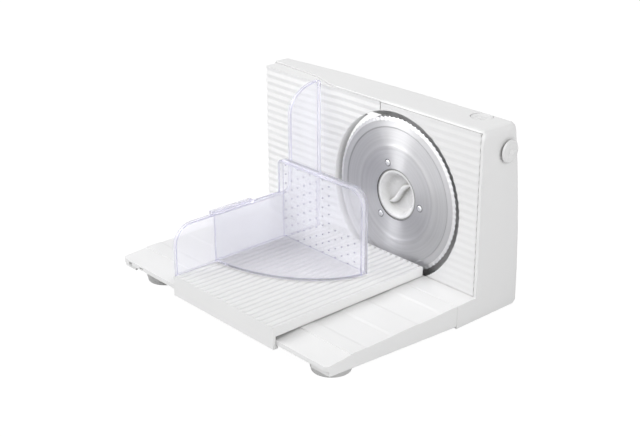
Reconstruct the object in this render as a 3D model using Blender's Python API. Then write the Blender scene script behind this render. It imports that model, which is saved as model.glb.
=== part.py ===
"""Electric food slicer: ribbed housing, serrated blade, sliding carriage and remainder holder.

Working frame of the functions below: X runs along the housing from the stop plate's left edge, Y runs
from the ribbed face towards the back, Z is up from the table. At the end everything is moved so that
the origin is the centre of the bounding box, on the table. All sizes are in metres.
"""
import math

import bmesh
import bpy
from mathutils import Matrix, Vector

# Housing shell
HOUSING_WIDTH = 0.365
TOP_SPARE = 0.0093
SHELL_FLOOR_Z = 0.0084
TOE_HEIGHT = 0.028
TOE_REACH = 0.031
TOE_ROUND = 0.002
SHELL_WALL = 0.0025
TOP_SKIN = 0.0018
SIDE_LAP = 0.0044
REAR_DEPTH_LEFT = 0.0425
REAR_DEPTH_RIGHT = 0.0566
REAR_FULL_X = 0.235
REAR_FLARE = 0.0185
REAR_ROUND = 0.006
FLOOR_ROUND = 0.003
END_ROUND = 0.0075
FRONT_ROUND_LEFT = 0.001
FRONT_ROUND_RIGHT = 0.006
FRONT_ROUND_RUN = 0.008
POST_WIDTH = 0.040
OUTLET_SILL = 0.006
TOP_BAR_DEPTH = 0.027
PLATE_ROOM = 0.0213
ROOM_GAP = 0.0019
END_ANGLES = (0, 30, 55, 75, 90)
RIM_DEPTH = 0.0182
RIM_MID_DEPTH = 0.0134
RIM_RUN = 0.057

# Joints between pieces, and how far a cut runs past what it cuts
FIT = 0.0003
EASY_FIT = 0.0004
SEAM = 0.0009
OVERRUN = 0.02

# Ribs pressed into the stop plate and the front panel
FACE_RIBS = 21
FACE_RIB_DEPTH = 0.001
FADED_RIB_DEPTH = 0.0004
RIB_STEPS = 4

# Stop plate
SLIT_OFFSET = 0.0264
PLATE_PROUD = 0.0026
PLATE_NEAR_BLADE = 0.0008
PLATE_CORNER = 0.0045
PLATE_CORNER_SHARES = (0, 0.12, 0.4, 1)
PLATE_STEP_GAP = 0.0126
PLATE_STEP_RUN = 0.018
PLATE_THICK = 0.003
PLATE_SKIRT = 0.022
PLATE_SKIRT_GAP = 0.0056
PLATE_SKIRT_WALL = 0.0025
PLATE_TRAVEL = 0.015
NOTCH_LIP = 0.0024
NOTCH_LIP_END = 0.0125
PLATE_BORE_SKIN = 0.0045
PLATE_BOSS_RADIUS = 0.0072
PLATE_BOSS_END = 0.030
GUIDE_X = 0.019
GUIDE_RISE = 0.030
GUIDE_DROP = 0.052
GUIDE_RADIUS = 0.004
SPINDLE_RISE = 0.096
SPINDLE_RADIUS = 0.005
NUT_END = 0.024

# Thickness knob
KNOB_RADIUS = 0.0195
KNOB_DEPTH = 0.014
KNOB_GRIPS = 14
KNOB_GRIP_DEPTH = 0.0011
KNOB_COLLAR_RADIUS = 0.022
KNOB_COLLAR_PROUD = 0.001
KNOB_EDGE = 0.002
KNOB_GROOVE = 0.0016

# Blade and what turns with it
BLADE_RADIUS = 0.095
BLADE_TEETH = 84
TOOTH_STEPS = 3
TOOTH_DEPTH = 0.0014
BLADE_THICK = 0.0018
BLADE_EDGE_Y = 0.0034
BEVEL_RISE = 0.0014
DISC_RISE = 0.0008
EMBOSS_RISE = 0.0006
BLADE_BORE = 0.0313
BEVEL_ROOT_SHARE = 0.948
BEVEL_INNER_SHARE = 0.87
BEVEL_FOOT_SHARE = 0.855
EMBOSS_OUTER_SHARE = 0.65
EMBOSS_CREST_SHARE = 0.625
EMBOSS_INNER_SHARE = 0.595
EMBOSS_FOOT_SHARE = 0.57
BACK_GRIND_SHARE = 0.94
RIVET_CIRCLE = 0.0392
RIVET_RADIUS = 0.0021
RIVET_HEAD = 0.0034
RIVET_HEAD_RISE = 0.0008
RIVET_COUNT = 3
RIVET_TURN = -8.5
CARRIER_RADIUS = 0.044
CARRIER_THICK = 0.003
CARRIER_NOSE_SINK = 0.001
CARRIER_CUP_WALL = 0.0016
CARRIER_FLOOR = 0.0019
CARRIER_SLEEVE = 0.0106
CARRIER_SLEEVE_LENGTH = 0.005
SHAFT_RADIUS = 0.008
SHAFT_END = 0.052
LOCK_SOCKET = 0.006
LOCK_SOCKET_DEPTH = 0.0009

# Blade lock: a cup in the blade's middle with a grip across it
LOCK_RADIUS = 0.030
LOCK_RIM_SINK = 0.0008
LOCK_RIM_WIDTH = 0.003
LOCK_RIM_EDGE = 0.0006
LOCK_RIM_THICK = 0.0012
LOCK_WALL = 0.0014
LOCK_DEPTH = 0.0094
LOCK_FLOOR_RADIUS = 0.0212
LOCK_FLOOR_ROUND = 0.002
GRIP_LENGTH = 0.046
GRIP_WIDTH = 0.0074
GRIP_SINK = 0.0044
GRIP_EDGE = 0.0012
GRIP_SWEEP = 0.0025
GRIP_TURN = 40.5
GRIP_TOP_SHARE = 0.9
GRIP_WAIST_SHARE = 0.25

# Drive: a wheel on the blade's shaft, turned by a worm on the motor's shaft
WHEEL_TEETH = 26
TOOTH_PITCH = 0.0062832
TOOTH_ADDENDUM = 0.0016
TOOTH_DEDENDUM = 0.0022
WHEEL_TOOTH_AT_TIP = 0.0016
WHEEL_TOOTH_AT_ROOT = 0.0039
DRIVE_Y = 0.041
WHEEL_FACE = 0.006
WHEEL_HUB = 0.013
WHEEL_HUB_LENGTH = 0.012
WHEEL_RIM = 0.004
WHEEL_WEB = 0.003
WORM_RADIUS = 0.007
WORM_TOOTH_AT_TIP = 0.0013
WORM_TOOTH_AT_ROOT = 0.0034
WORM_TURNS = 4
WORM_STEPS = 16
WORM_CORE_SPARE = 0.0045
MOTOR_SHAFT_RADIUS = 0.003
MOTOR_RADIUS = 0.0193
MOTOR_GAP = 0.029
MOTOR_LENGTH = 0.068
MOTOR_NOSE_RADIUS = 0.008
MOTOR_NOSE = 0.006
MOTOR_EDGE = 0.002
MOTOR_SHAFT_DEPTH = 0.012
MOUNT_SHEET = 0.003
MOUNT_REACH = 0.0245
MOUNT_TOP_SPARE = 0.0085
MOUNT_FOOT = 0.020
MOUNT_HALF_DEPTH = 0.013

# Front panel right of the stop plate, with the pan that the blade turns in
PANEL_THICK = 0.0035
RECESS_CLEARANCE = 0.0067
RECESS_SINK = 0.0157
RECESS_END_GAP = 0.031
PAN_FLOOR_Y = 0.0178
PAN_FLOOR = 0.0025
PAN_WALL = 0.003
PAN_LEFT_REACH = 0.049
SEAT_RADIUS = 0.0142
SEAT_END = 0.0325
BUSH_WALL = 0.0026
BUSH_LENGTH = 0.0108
BUSH_FLANGE = 0.0016

# Screws
SCREW_RADIUS = 0.0017
SCREW_HEAD = 0.0034
SCREW_HEAD_HEIGHT = 0.0022
SCREW_LENGTH = 0.013
PANEL_BOSS = 0.0046
PANEL_SCREW_INSET = 0.015
PANEL_SCREW_RISE = 0.018
PANEL_SCREW_DROP = 0.014
PANEL_SCREW_PITCH = 0.050
TOE_SCREW_INSET = 0.045
TOE_SCREW_DROP = 0.013
TOE_SCREWS = 4

# Buttons and the switch that they work
TOP_BUTTON_INSET = 0.040
TOP_BUTTON_Y = 0.0412
TOP_BUTTON_RADIUS = 0.0128
TOP_BUTTON_THICK = 0.004
TOP_BUTTON_DISH = 0.0012
TOP_BUTTON_DISH_SHARES = (0.8, 0.45)
TOP_BUTTON_SINK = 0.0004
TOP_BUTTON_TRAVEL = 0.0025
SIDE_BUTTON_Y = 0.0405
SIDE_BUTTON_DROP = 0.0295
SIDE_BUTTON_RADIUS = 0.0135
SIDE_BUTTON_PROUD = 0.005
SIDE_BUTTON_EDGE = 0.0014
SIDE_BUTTON_DIMPLE = 0.0034
SIDE_BUTTON_DIMPLE_DEPTH = 0.0008
SIDE_BUTTON_TRAVEL = 0.003
BUTTON_STEM = 0.003
BUTTON_FIT = 0.0005
SWITCH_WIDTH = 0.024
SWITCH_DEPTH = 0.017
SWITCH_DROP = 0.0125
SWITCH_HEIGHT = 0.024
SHELF_THICK = 0.003
SHELF_SPARE = 0.002

# Back of the housing
VENT_COUNT = 9
VENT_PITCH = 0.008
VENT_WIDTH = 0.0034
VENT_HEIGHT = 0.034
VENT_RISE = 0.058
INLET_INSET = 0.022
INLET_RISE = -0.008
INLET_RADIUS = 0.0056
INLET_BORE = 0.0036
INLET_FLANGE = 0.0085
INLET_FLANGE_THICK = 0.0022

# Base plate
DECK_THICK = 0.0022
BASE_WALL = 0.0025
LIP_DROP = 0.0088
LIP_WALL = 0.0045
CORNER_SETBACK = 0.0036
CORNER_LENGTH = 0.028
CORNER_LEFT_LENGTH = 0.0214
SKIRT_FRONT_DROP = 0.0150
SKIRT_REAR_DROP = 0.0252
DECK_STEP_SHARE = 0.8475
DECK_STEP = 0.0008
DECK_FALL = 0.0034
CHANNEL_DEPTH = 0.0006
CHANNEL_RUN = 0.004
OUTER_CHANNEL_FRONT_SHARE = 0.764
OUTER_CHANNEL_REAR_SHARE = 0.571
INNER_CHANNEL_FRONT_SHARE = 0.421
INNER_CHANNEL_REAR_SHARE = 0.237
BASE_CORNER = 0.005
BASE_RIB = 0.0022
BASE_BAYS = 3
LIP_NOTCH_INSET = 0.0119
LIP_NOTCH_WIDTH = 0.0068
LIP_NOTCH_DROP = 0.0022
LIP_NOTCH_HEIGHTS = (0.0047, 0.0018)
LIP_NOTCH_PITCH = 0.0228

# Feet
FRONT_FOOT_LEFT_X = 0.0215
FRONT_FOOT_INSET = 0.0413
FRONT_FOOT_SETBACK = 0.0442
FRONT_FOOT_TOP = 0.0258
FRONT_FOOT_BOTTOM = 0.0222
FRONT_FOOT_STEM = 0.009
FOOT_CUP_SHARE = 0.82
FOOT_CUP = 0.0022
FOOT_EDGE = 0.0015
REAR_FOOT_INSET = 0.026
REAR_FOOT_Y = 0.042
REAR_FOOT_TOP = 0.013
REAR_FOOT_BOTTOM = 0.0115
REAR_FOOT_STEM = 0.0035
REAR_FOOT_STEM_RISE = 0.006

# Carriage
TRAY_WIDTH = 0.1789
TRAY_PAST_BLADE = 0.0522
TRAY_RISE = 0.0123
TRAY_FRONT = 0.2315
TRAY_REAR = 0.0031
TRAY_SKIRT_WALL = 0.0034
TRAY_SKIN = 0.0027
TRAY_SIDE_RISE = 0.001
TRAY_SKIRT_DROP = 0.0138
TRAY_LIP = 0.0032
TRAY_LIP_THICK = 0.0046
TRAY_RIBS = 19
TRAY_RIB_DEPTH = 0.0011
TRAY_BORDER = 0.0016
TRAY_CREST_SHARE = 0.3
TRAY_FLOOR_SHARE = 0.35
WALL_LEDGE = 0.0025
KEEL_WIDTH = 0.004
KEEL_INSET = 0.014
KEEL_GAP = 0.0004
KEEL_FIT = 0.0015

# Transparent wall on the carriage
WALL_THICK = 0.003
WALL_RIM_DEPTH = 0.005
WALL_RIM = 0.0024
WALL_FRONT_INSET = 0.0023
WALL_RISE = 0.072
WALL_FRONT_ROUND = 0.025
TOWER_FRONT = 0.0545
TOWER_REAR = 0.0066
TOWER_PROUD = 0.0045
TOWER_ROUND_HEIGHT = 0.034
TOWER_FILLET = 0.010
TOWER_REAR_ROUND = 0.002

# Remainder holder
HOLDER_FACE = 0.067
HOLDER_PLATE = 0.003
HOLDER_RIM_DEPTH = 0.009
HOLDER_RIM = 0.0024
HOLDER_INSET = 0.0273
HOLDER_TOP = 0.1173
HOLDER_BOTTOM = 0.0142
HOLDER_LEFT_ROUND = 0.005
HOLDER_RIGHT_ROUND = 0.019
GUARD_FRONT = 0.1747
GUARD_THICK = 0.0026
HOOK_THICK = 0.003
HOOK_GAP = 0.0006
HOOK_LEG = 0.0022
HOOK_LEG_DROP = 0.004
HOOK_LEG_REAR = 0.114
HOLDER_FLOOR = 0.0028
HOLDER_FLOOR_CURVE = 1.85
HOLDER_FLOOR_STEPS = 14
PIN_HEIGHT = 0.0015
PIN_HALF = 0.0009
PIN_TIP_SHARE = 0.25
PIN_COLUMN_PITCH = 0.011
PIN_ROW_PITCH = 0.0115
PIN_FIRST_X = 0.0045
PIN_TOP_DROP = 0.0085
PIN_COLUMNS = 12
PIN_ROWS = 9
PIN_FULL_COLUMNS = 8
PIN_SHORT_ROWS = 4

# Roundness
FINE_SIDES = 64
ROUND_SIDES = 32
SMALL_SIDES = 16
CORNER_STEPS = 6
SMALL_STEPS = 3
SMOOTH_ANGLE = 34
FLATNESS = 0.0000005

# Levels and lines that the sizes above give
DECK_Z = SHELL_FLOOR_Z + TOE_HEIGHT
DECK_CEILING_Z = DECK_Z - DECK_FALL - DECK_THICK
BASE_LEFT_X = -SIDE_LAP
BASE_FRONT = TRAY_FRONT - TRAY_SKIRT_WALL - FIT
DECK_STEP_Y = BASE_FRONT * DECK_STEP_SHARE
OUTER_CHANNEL_FRONT = BASE_FRONT * OUTER_CHANNEL_FRONT_SHARE
OUTER_CHANNEL_REAR = BASE_FRONT * OUTER_CHANNEL_REAR_SHARE
INNER_CHANNEL_FRONT = BASE_FRONT * INNER_CHANNEL_FRONT_SHARE
INNER_CHANNEL_REAR = BASE_FRONT * INNER_CHANNEL_REAR_SHARE
FRONT_FOOT_Y = BASE_FRONT - FRONT_FOOT_SETBACK
WALL_FRONT = TRAY_FRONT - WALL_FRONT_INSET
RECESS_RADIUS = BLADE_RADIUS + RECESS_CLEARANCE
BLADE_X = HOUSING_WIDTH - RECESS_END_GAP - RECESS_RADIUS
BLADE_Z = DECK_Z + RECESS_RADIUS - RECESS_SINK
TOP_Z = BLADE_Z + RECESS_RADIUS + TOP_SPARE
RECESS_LEFT_X = BLADE_X - RECESS_RADIUS
SLIT_X = BLADE_X - SLIT_OFFSET
FACE_TOP_Z = TOP_Z - SHELL_WALL - FIT
PLATE_TOP_Z = TOP_Z - TOP_SKIN - FIT
PLATE_STEP_X = RECESS_LEFT_X - PLATE_STEP_GAP
PLATE_SKIRT_X = RECESS_LEFT_X - PLATE_SKIRT_GAP
PANEL_LEFT_X = SLIT_X + SEAM
GUIDE_LOW_Z = DECK_Z + GUIDE_RISE
GUIDE_HIGH_Z = TOP_Z - GUIDE_DROP
SPINDLE_Z = DECK_Z + SPINDLE_RISE
PANEL_RIGHT_X = HOUSING_WIDTH - SIDE_LAP + EASY_FIT - SEAM
CAVITY_RIGHT_X = PANEL_RIGHT_X + SEAM
PANEL_SCREW_X = HOUSING_WIDTH - PANEL_SCREW_INSET
BORE_FLOOR = PLATE_BORE_SKIN - PLATE_PROUD
GUIDE_START = BORE_FLOOR + PLATE_TRAVEL + SEAM
DISC_Y = BLADE_EDGE_Y - DISC_RISE
CARRIER_Y = DISC_Y + BLADE_THICK + FIT
LOCK_RIM_Y = DISC_Y + LOCK_RIM_SINK
LOCK_SEAT_Y = LOCK_RIM_Y + LOCK_RIM_THICK
LOCK_FLOOR_Y = LOCK_RIM_Y + LOCK_DEPTH
CUP_FLOOR_Y = LOCK_FLOOR_Y + LOCK_WALL + EASY_FIT
CUP_BACK_Y = CUP_FLOOR_Y + CARRIER_FLOOR
SHAFT_START = CUP_BACK_Y + FIT
WHEEL_RADIUS = WHEEL_TEETH * TOOTH_PITCH / math.tau
WORM_Z = BLADE_Z - WHEEL_RADIUS - WORM_RADIUS
ROOM_LEFT_X = BLADE_X - WHEEL_RADIUS - TOOTH_ADDENDUM - ROOM_GAP
BLOCK_LEFT_X = ROOM_LEFT_X - SHELL_WALL
MOTOR_START_X = BLADE_X + MOTOR_GAP
MOUNT_LEFT_X = BLADE_X - MOUNT_REACH
TOP_BUTTON_X = HOUSING_WIDTH - TOP_BUTTON_INSET
SIDE_BUTTON_Z = TOP_Z - SIDE_BUTTON_DROP
INLET_X = HOUSING_WIDTH - INLET_INSET
TRAY_TOP_Z = DECK_Z + TRAY_RISE
TRAY_RIGHT_X = BLADE_X + TRAY_PAST_BLADE
TRAY_LEFT_X = TRAY_RIGHT_X - TRAY_WIDTH
WALL_IN_X = TRAY_LEFT_X + WALL_RIM_DEPTH
GUARD_LEFT_X = WALL_IN_X + EASY_FIT
HOLDER_RIGHT_X = TRAY_RIGHT_X - HOLDER_INSET

NODES = []


def material(name, colour, roughness, metallic=0.0, alpha=1.0):
    """Principled material with the part's plain colour."""
    made = bpy.data.materials.new(name)
    made.use_nodes = True
    shader = made.node_tree.nodes["Principled BSDF"]
    shader.inputs["Base Color"].default_value = (*colour, 1.0)
    shader.inputs["Roughness"].default_value = roughness
    shader.inputs["Metallic"].default_value = metallic
    shader.inputs["Alpha"].default_value = alpha
    made.diffuse_color = (*colour, alpha)
    return made


def solid(name, bm):
    """Object from a closed bmesh, with its faces turned outwards."""
    bmesh.ops.recalc_face_normals(bm, faces=bm.faces[:])
    mesh = bpy.data.meshes.new(name)
    bm.to_mesh(mesh)
    bm.free()
    made = bpy.data.objects.new(name, mesh)
    bpy.context.scene.collection.objects.link(made)
    return made


def side_face(bm, *corners):
    """Quad between two sections, or two triangles where its corners aren't in one plane."""
    a, b, c, d = [vert.co for vert in corners]
    normal = (b - a).cross(c - a).normalized()
    if abs(normal.dot(d - a)) < FLATNESS:
        bm.faces.new(corners)
        return
    bm.faces.new(corners[:3])
    bm.faces.new((corners[0], corners[2], corners[3]))


def loft(name, sections):
    """Closed solid through loops of equally many points, capped at both ends."""
    bm = bmesh.new()
    loops = [[bm.verts.new(point) for point in section] for section in sections]
    count = len(loops[0])
    for first, second in zip(loops, loops[1:]):
        for i in range(count):
            j = (i + 1) % count
            side_face(bm, first[i], first[j], second[j], second[i])
    bm.faces.new(loops[0])
    bm.faces.new(loops[-1])
    return solid(name, bm)


def lift(point, axis, height):
    """Point of an outline, placed at a height along the axis that the outline is square to."""
    a, b = point
    return {"X": (height, a, b), "Y": (a, height, b), "Z": (a, b, height)}[axis]


def prism(name, outline, axis, low, high):
    """Outline swept straight along one axis."""
    return loft(name, [[lift(point, axis, height) for point in outline] for height in (low, high)])


def block(name, low, high):
    """Box between two corners."""
    outline = [(low[0], low[1]), (high[0], low[1]), (high[0], high[1]), (low[0], high[1])]
    return prism(name, outline, "Z", low[2], high[2])


def turned(name, profile, axis, centre, sides=ROUND_SIDES):
    """Solid of revolution from (radius, place along the axis) points, about a centre in the cross plane."""
    bm = bmesh.new()
    rings = []
    for radius, along in profile:
        if radius == 0:
            rings.append([bm.verts.new(lift(centre, axis, along))])
            continue
        ring = []
        for i in range(sides):
            angle = math.tau * i / sides
            point = (centre[0] + radius * math.cos(angle), centre[1] + radius * math.sin(angle))
            ring.append(bm.verts.new(lift(point, axis, along)))
        rings.append(ring)
    for i, first in enumerate(rings):
        j = (i + 1) % len(rings)
        join_rings(bm, first, rings[j], profile[i][1] == profile[j][1])
    for vert in [vert for vert in bm.verts if not vert.link_faces]:
        bm.verts.remove(vert)
    return solid(name, bm)


def join_rings(bm, first, second, level):
    """Faces between two rings of a turned solid: a ring of one point is a pole on the axis."""
    if len(first) == 1 and len(second) == 1:
        return
    if len(first) == 1 or len(second) == 1:
        pole, ring = (first[0], second) if len(first) == 1 else (second[0], first)
        if level:
            bm.faces.new(ring)
            return
        for i, vert in enumerate(ring):
            bm.faces.new((pole, vert, ring[(i + 1) % len(ring)]))
        return
    for i, vert in enumerate(first):
        j = (i + 1) % len(first)
        bm.faces.new((vert, first[j], second[j], second[i]))


def rod(name, axis, centre, radius, low, high, sides=SMALL_SIDES):
    """Plain round bar."""
    return turned(name, [(0, low), (radius, low), (radius, high), (0, high)], axis, centre, sides)


def tube(name, axis, centre, inner, outer, low, high, sides=ROUND_SIDES):
    """Round bar with a bore all the way through."""
    return turned(name, [(inner, low), (outer, low), (outer, high), (inner, high)], axis, centre, sides)


def arc(centre, radius_a, radius_b, start, end, steps=CORNER_STEPS):
    """Points of an elliptic arc in degrees, both ends included."""
    points = []
    for i in range(steps + 1):
        angle = math.radians(start + (end - start) * i / steps)
        points.append((centre[0] + radius_a * math.cos(angle), centre[1] + radius_b * math.sin(angle)))
    return points


def combine(target, others, operation):
    """Applies one Boolean after another to the target and deletes the other shapes."""
    for other in others:
        other.hide_render = True
        other.display_type = "WIRE"
        step = target.modifiers.new(operation.title(), "BOOLEAN")
        step.operation = operation
        step.solver = "EXACT"
        step.object = other
    bpy.context.view_layer.update()
    shaped = bpy.data.meshes.new_from_object(target.evaluated_get(bpy.context.evaluated_depsgraph_get()))
    target.modifiers.clear()
    target.data = shaped
    for other in others:
        bpy.data.objects.remove(other)
    return target


def cut(target, *cutters):
    return combine(target, cutters, "DIFFERENCE")


def fuse(target, *others):
    return combine(target, others, "UNION")


def gather(name, shapes):
    """Joins shapes that stay separate solids into one object."""
    bm = bmesh.new()
    for shape in shapes:
        bm.from_mesh(shape.data)
        bpy.data.objects.remove(shape)
    return solid(name, bm)


def node(shape, name, look, axis_point=None):
    """Names a finished sub-part, gives it its material and puts its origin on its axis."""
    shape.name = name
    shape.data.name = name
    shape.data.materials.clear()
    shape.data.materials.append(look)
    shape.data.shade_smooth()
    shape.data.set_sharp_from_angle(angle=math.radians(SMOOTH_ANGLE))
    if axis_point is not None:
        shape.data.transform(Matrix.Translation(-Vector(axis_point)))
        shape.location = axis_point
    NODES.append(shape)
    return shape


def copies(shapes, names, look, axis_point=None):
    """Names each of a set of alike pieces."""
    return [node(shape, name, look, axis_point) for shape, name in zip(shapes, names)]


def top_depth(x):
    """Depth of the housing's top face at x: the back bows out from left to right."""
    share = min(max(x / REAR_FULL_X, 0), 1)
    return REAR_DEPTH_LEFT + (REAR_DEPTH_RIGHT - REAR_DEPTH_LEFT) * (1 - (1 - share) ** 2)


def end_inset(x):
    """How far the rounding of the housing's two ends draws its skin in at x."""
    past = max(x - (HOUSING_WIDTH - END_ROUND), -SIDE_LAP + SHELL_WALL - x, 0)
    radius = END_ROUND if x > 0 else SHELL_WALL
    return radius - math.sqrt(max(radius ** 2 - min(past, radius) ** 2, 0))


def rear_y(x, z):
    """Back face of the housing: it leans forward towards the top in a slow curve."""
    share = (z - SHELL_FLOOR_Z) / (TOP_Z - SHELL_FLOOR_Z)
    return top_depth(x) + REAR_FLARE * (1 - share ** 2) - end_inset(x)


def inner_back(x, z, reach):
    """Nearest that a round piece of this reach may come to the inside of the housing's back."""
    return min(rear_y(x - reach, z + reach), rear_y(x + reach, z + reach)) - SHELL_WALL - 2 * FIT


def front_round(x):
    """Radius of the top front edge: sharp above the stop plate, soft above the front panel."""
    share = min(max((x - SLIT_X) / FRONT_ROUND_RUN, 0), 1)
    return FRONT_ROUND_LEFT + (FRONT_ROUND_RIGHT - FRONT_ROUND_LEFT) * share


def spread(low, high, count):
    """Evenly spaced values, both ends included."""
    return [low + (high - low) * i / (count - 1) for i in range(count)]


def shell_section(x):
    """Outline of the housing at x, from the toe's foot round over the top to the back."""
    top = TOP_Z - end_inset(x)
    soft = front_round(x)
    points = [(-TOE_REACH, SHELL_FLOOR_Z)]
    points += arc((-TOE_REACH + TOE_ROUND, DECK_Z - TOE_ROUND), TOE_ROUND, TOE_ROUND, 180, 90, SMALL_STEPS)
    points += [(0, DECK_Z)]
    points += arc((soft, top - soft), soft, soft, 180, 90, SMALL_STEPS)
    for y, z in arc((-REAR_ROUND, top - REAR_ROUND), REAR_ROUND, REAR_ROUND, 90, 0, SMALL_STEPS):
        points.append((rear_y(x, z) + y, z))
    for z in spread(top - REAR_ROUND, SHELL_FLOOR_Z + FLOOR_ROUND, CORNER_STEPS)[1:]:
        points.append((rear_y(x, z), z))
    points.append((rear_y(x, SHELL_FLOOR_Z) - FLOOR_ROUND, SHELL_FLOOR_Z))
    return [(x, y, z) for y, z in points]


def shell_stations():
    left = [-SIDE_LAP, -SIDE_LAP + SHELL_WALL / 2, -SIDE_LAP + SHELL_WALL]
    bowed = spread(0, REAR_FULL_X, CORNER_STEPS)
    bowed = sorted(bowed[:-1] + [SLIT_X, SLIT_X + FRONT_ROUND_RUN, REAR_FULL_X])
    rounded = [HOUSING_WIDTH - END_ROUND * (1 - math.sin(math.radians(a))) for a in END_ANGLES]
    return left + bowed + rounded


def hollow(name, x_low, x_high, y_low, z_low, z_high, wall=SHELL_WALL):
    """Cutter for the inside of the housing: its back keeps one wall thickness inside the curved back face."""
    stations = spread(x_low, x_high, CORNER_STEPS)
    if x_low < HOUSING_WIDTH - END_ROUND < x_high:
        stations = sorted(stations + [HOUSING_WIDTH - END_ROUND])
    sections = []
    for x in stations:
        section = [(x, y_low, z_low), (x, y_low, z_high)]
        section += [(x, rear_y(x, z) - wall, z) for z in spread(z_high, z_low, CORNER_STEPS)]
        sections.append(section)
    return loft(name, sections)


def rim_outline():
    """Plan of what is cut from the shell's rim to show the stop plate's thick left part."""
    curve = [(RECESS_LEFT_X - RIM_RUN * (1 - share), RIM_MID_DEPTH * (1 + math.cos(math.pi * share)) / 2)
             for share in spread(0, 1, CORNER_STEPS)]
    outline = [(-OVERRUN, -OVERRUN), (-OVERRUN, RIM_DEPTH), (0, RIM_DEPTH)]
    return outline + curve + [(RECESS_LEFT_X, -OVERRUN)]


def ribbed(count, low, high, depth):
    """Wave of ribs between two heights as (height, sink) pairs: sink is zero on a crest."""
    steps = count * RIB_STEPS
    return [(z, depth * (1 - math.cos(math.tau * i / RIB_STEPS)) / 2)
            for i, z in enumerate(spread(low, high, steps + 1))]


def plate_face_y(x):
    """Front face of the stop plate: proud at the left, nearly flush beside the blade."""
    share = min(max((x - PLATE_STEP_X) / PLATE_STEP_RUN, 0), 1)
    blend = share * share * (3 - 2 * share)
    corner = max(PLATE_CORNER - x, 0)
    rounding = PLATE_CORNER - math.sqrt(PLATE_CORNER ** 2 - corner ** 2)
    return -PLATE_PROUD + (PLATE_PROUD - PLATE_NEAR_BLADE) * blend + rounding


def stop_plate(look):
    """Ribbed plate left of the blade: a shallow tray whose skirt slides inside the shell."""
    corner = [PLATE_CORNER * share for share in PLATE_CORNER_SHARES]
    stations = corner + spread(PLATE_STEP_X, PLATE_STEP_X + PLATE_STEP_RUN, CORNER_STEPS - 1) + [SLIT_X]
    ribs = ribbed(FACE_RIBS, DECK_Z + FIT, PLATE_TOP_Z, FACE_RIB_DEPTH)
    sections = []
    for x in stations:
        front = [(x, plate_face_y(x) + sink, z) for z, sink in ribs]
        sections.append(front + [(x, PLATE_SKIRT, PLATE_TOP_Z), (x, PLATE_SKIRT, DECK_Z + FIT)])
    plate = loft("plate", sections)
    web_back = PLATE_NEAR_BLADE + PLATE_THICK - FACE_RIB_DEPTH
    inside = block("inside", (PLATE_SKIRT_WALL, PLATE_THICK - PLATE_PROUD, DECK_Z - OVERRUN),
                   (PLATE_SKIRT_X, OVERRUN + PLATE_SKIRT, PLATE_TOP_Z - PLATE_SKIRT_WALL))
    web = block("web", (PLATE_SKIRT_X - PLATE_SKIRT_WALL / 2, web_back, 0),
                (SLIT_X + OVERRUN, OVERRUN + PLATE_SKIRT, TOP_Z + OVERRUN))
    cut(plate, inside, web)
    fuse(plate, notch_lip(web_back - PLATE_THICK / 2))
    far = OVERRUN + PLATE_SKIRT
    cut(plate, rod("notch", "Y", (BLADE_X, BLADE_Z), RECESS_RADIUS, -OVERRUN, far, FINE_SIDES))
    face = BORE_FLOOR - PLATE_THICK
    bosses = []
    bores = []
    places = ((GUIDE_LOW_Z, GUIDE_RADIUS, PLATE_BOSS_END), (GUIDE_HIGH_Z, GUIDE_RADIUS, PLATE_BOSS_END),
              (SPINDLE_Z, SPINDLE_RADIUS, NUT_END))
    for z, radius, end in places:
        centre = (GUIDE_X, z)
        bosses.append(rod("boss", "Y", centre, PLATE_BOSS_RADIUS, face, end, SMALL_SIDES))
        bores.append(rod("bore", "Y", centre, radius + EASY_FIT, BORE_FLOOR, end + OVERRUN, SMALL_SIDES))
    fuse(plate, *bosses)
    cut(plate, *bores)
    return node(plate, "stop_plate", look)


def notch_lip(start):
    """Disc whose edge stays as a lip behind the stop plate's notch, as tall as the slice outlet."""
    lip = rod("lip", "Y", (BLADE_X, BLADE_Z), RECESS_RADIUS + NOTCH_LIP, start, NOTCH_LIP_END, FINE_SIDES)
    far = NOTCH_LIP_END + OVERRUN
    right = block("right", (BLADE_X - PAN_LEFT_REACH, -OVERRUN, 0), (HOUSING_WIDTH, far, TOP_Z))
    above = block("above", (0, -OVERRUN, TOP_Z - TOP_BAR_DEPTH - SEAM), (HOUSING_WIDTH, far, TOP_Z + OVERRUN))
    below = block("below", (0, -OVERRUN, -OVERRUN), (HOUSING_WIDTH, far, DECK_Z + OUTLET_SILL + SEAM))
    return cut(lip, right, above, below)


def guide_rods(look):
    """Two fixed rods in the left post that the stop plate slides on."""
    rods = []
    for z in (GUIDE_LOW_Z, GUIDE_HIGH_Z):
        end = inner_back(GUIDE_X, z, GUIDE_RADIUS)
        rods.append(rod("rod", "Y", (GUIDE_X, z), GUIDE_RADIUS, GUIDE_START, end))
    return copies(rods, ("guide_rod_lower", "guide_rod_upper"), look)


def collar_face_y():
    """Flat back face of the collar that the thickness knob turns on."""
    return rear_y(GUIDE_X, SPINDLE_Z - KNOB_COLLAR_RADIUS) + KNOB_COLLAR_PROUD


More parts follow.
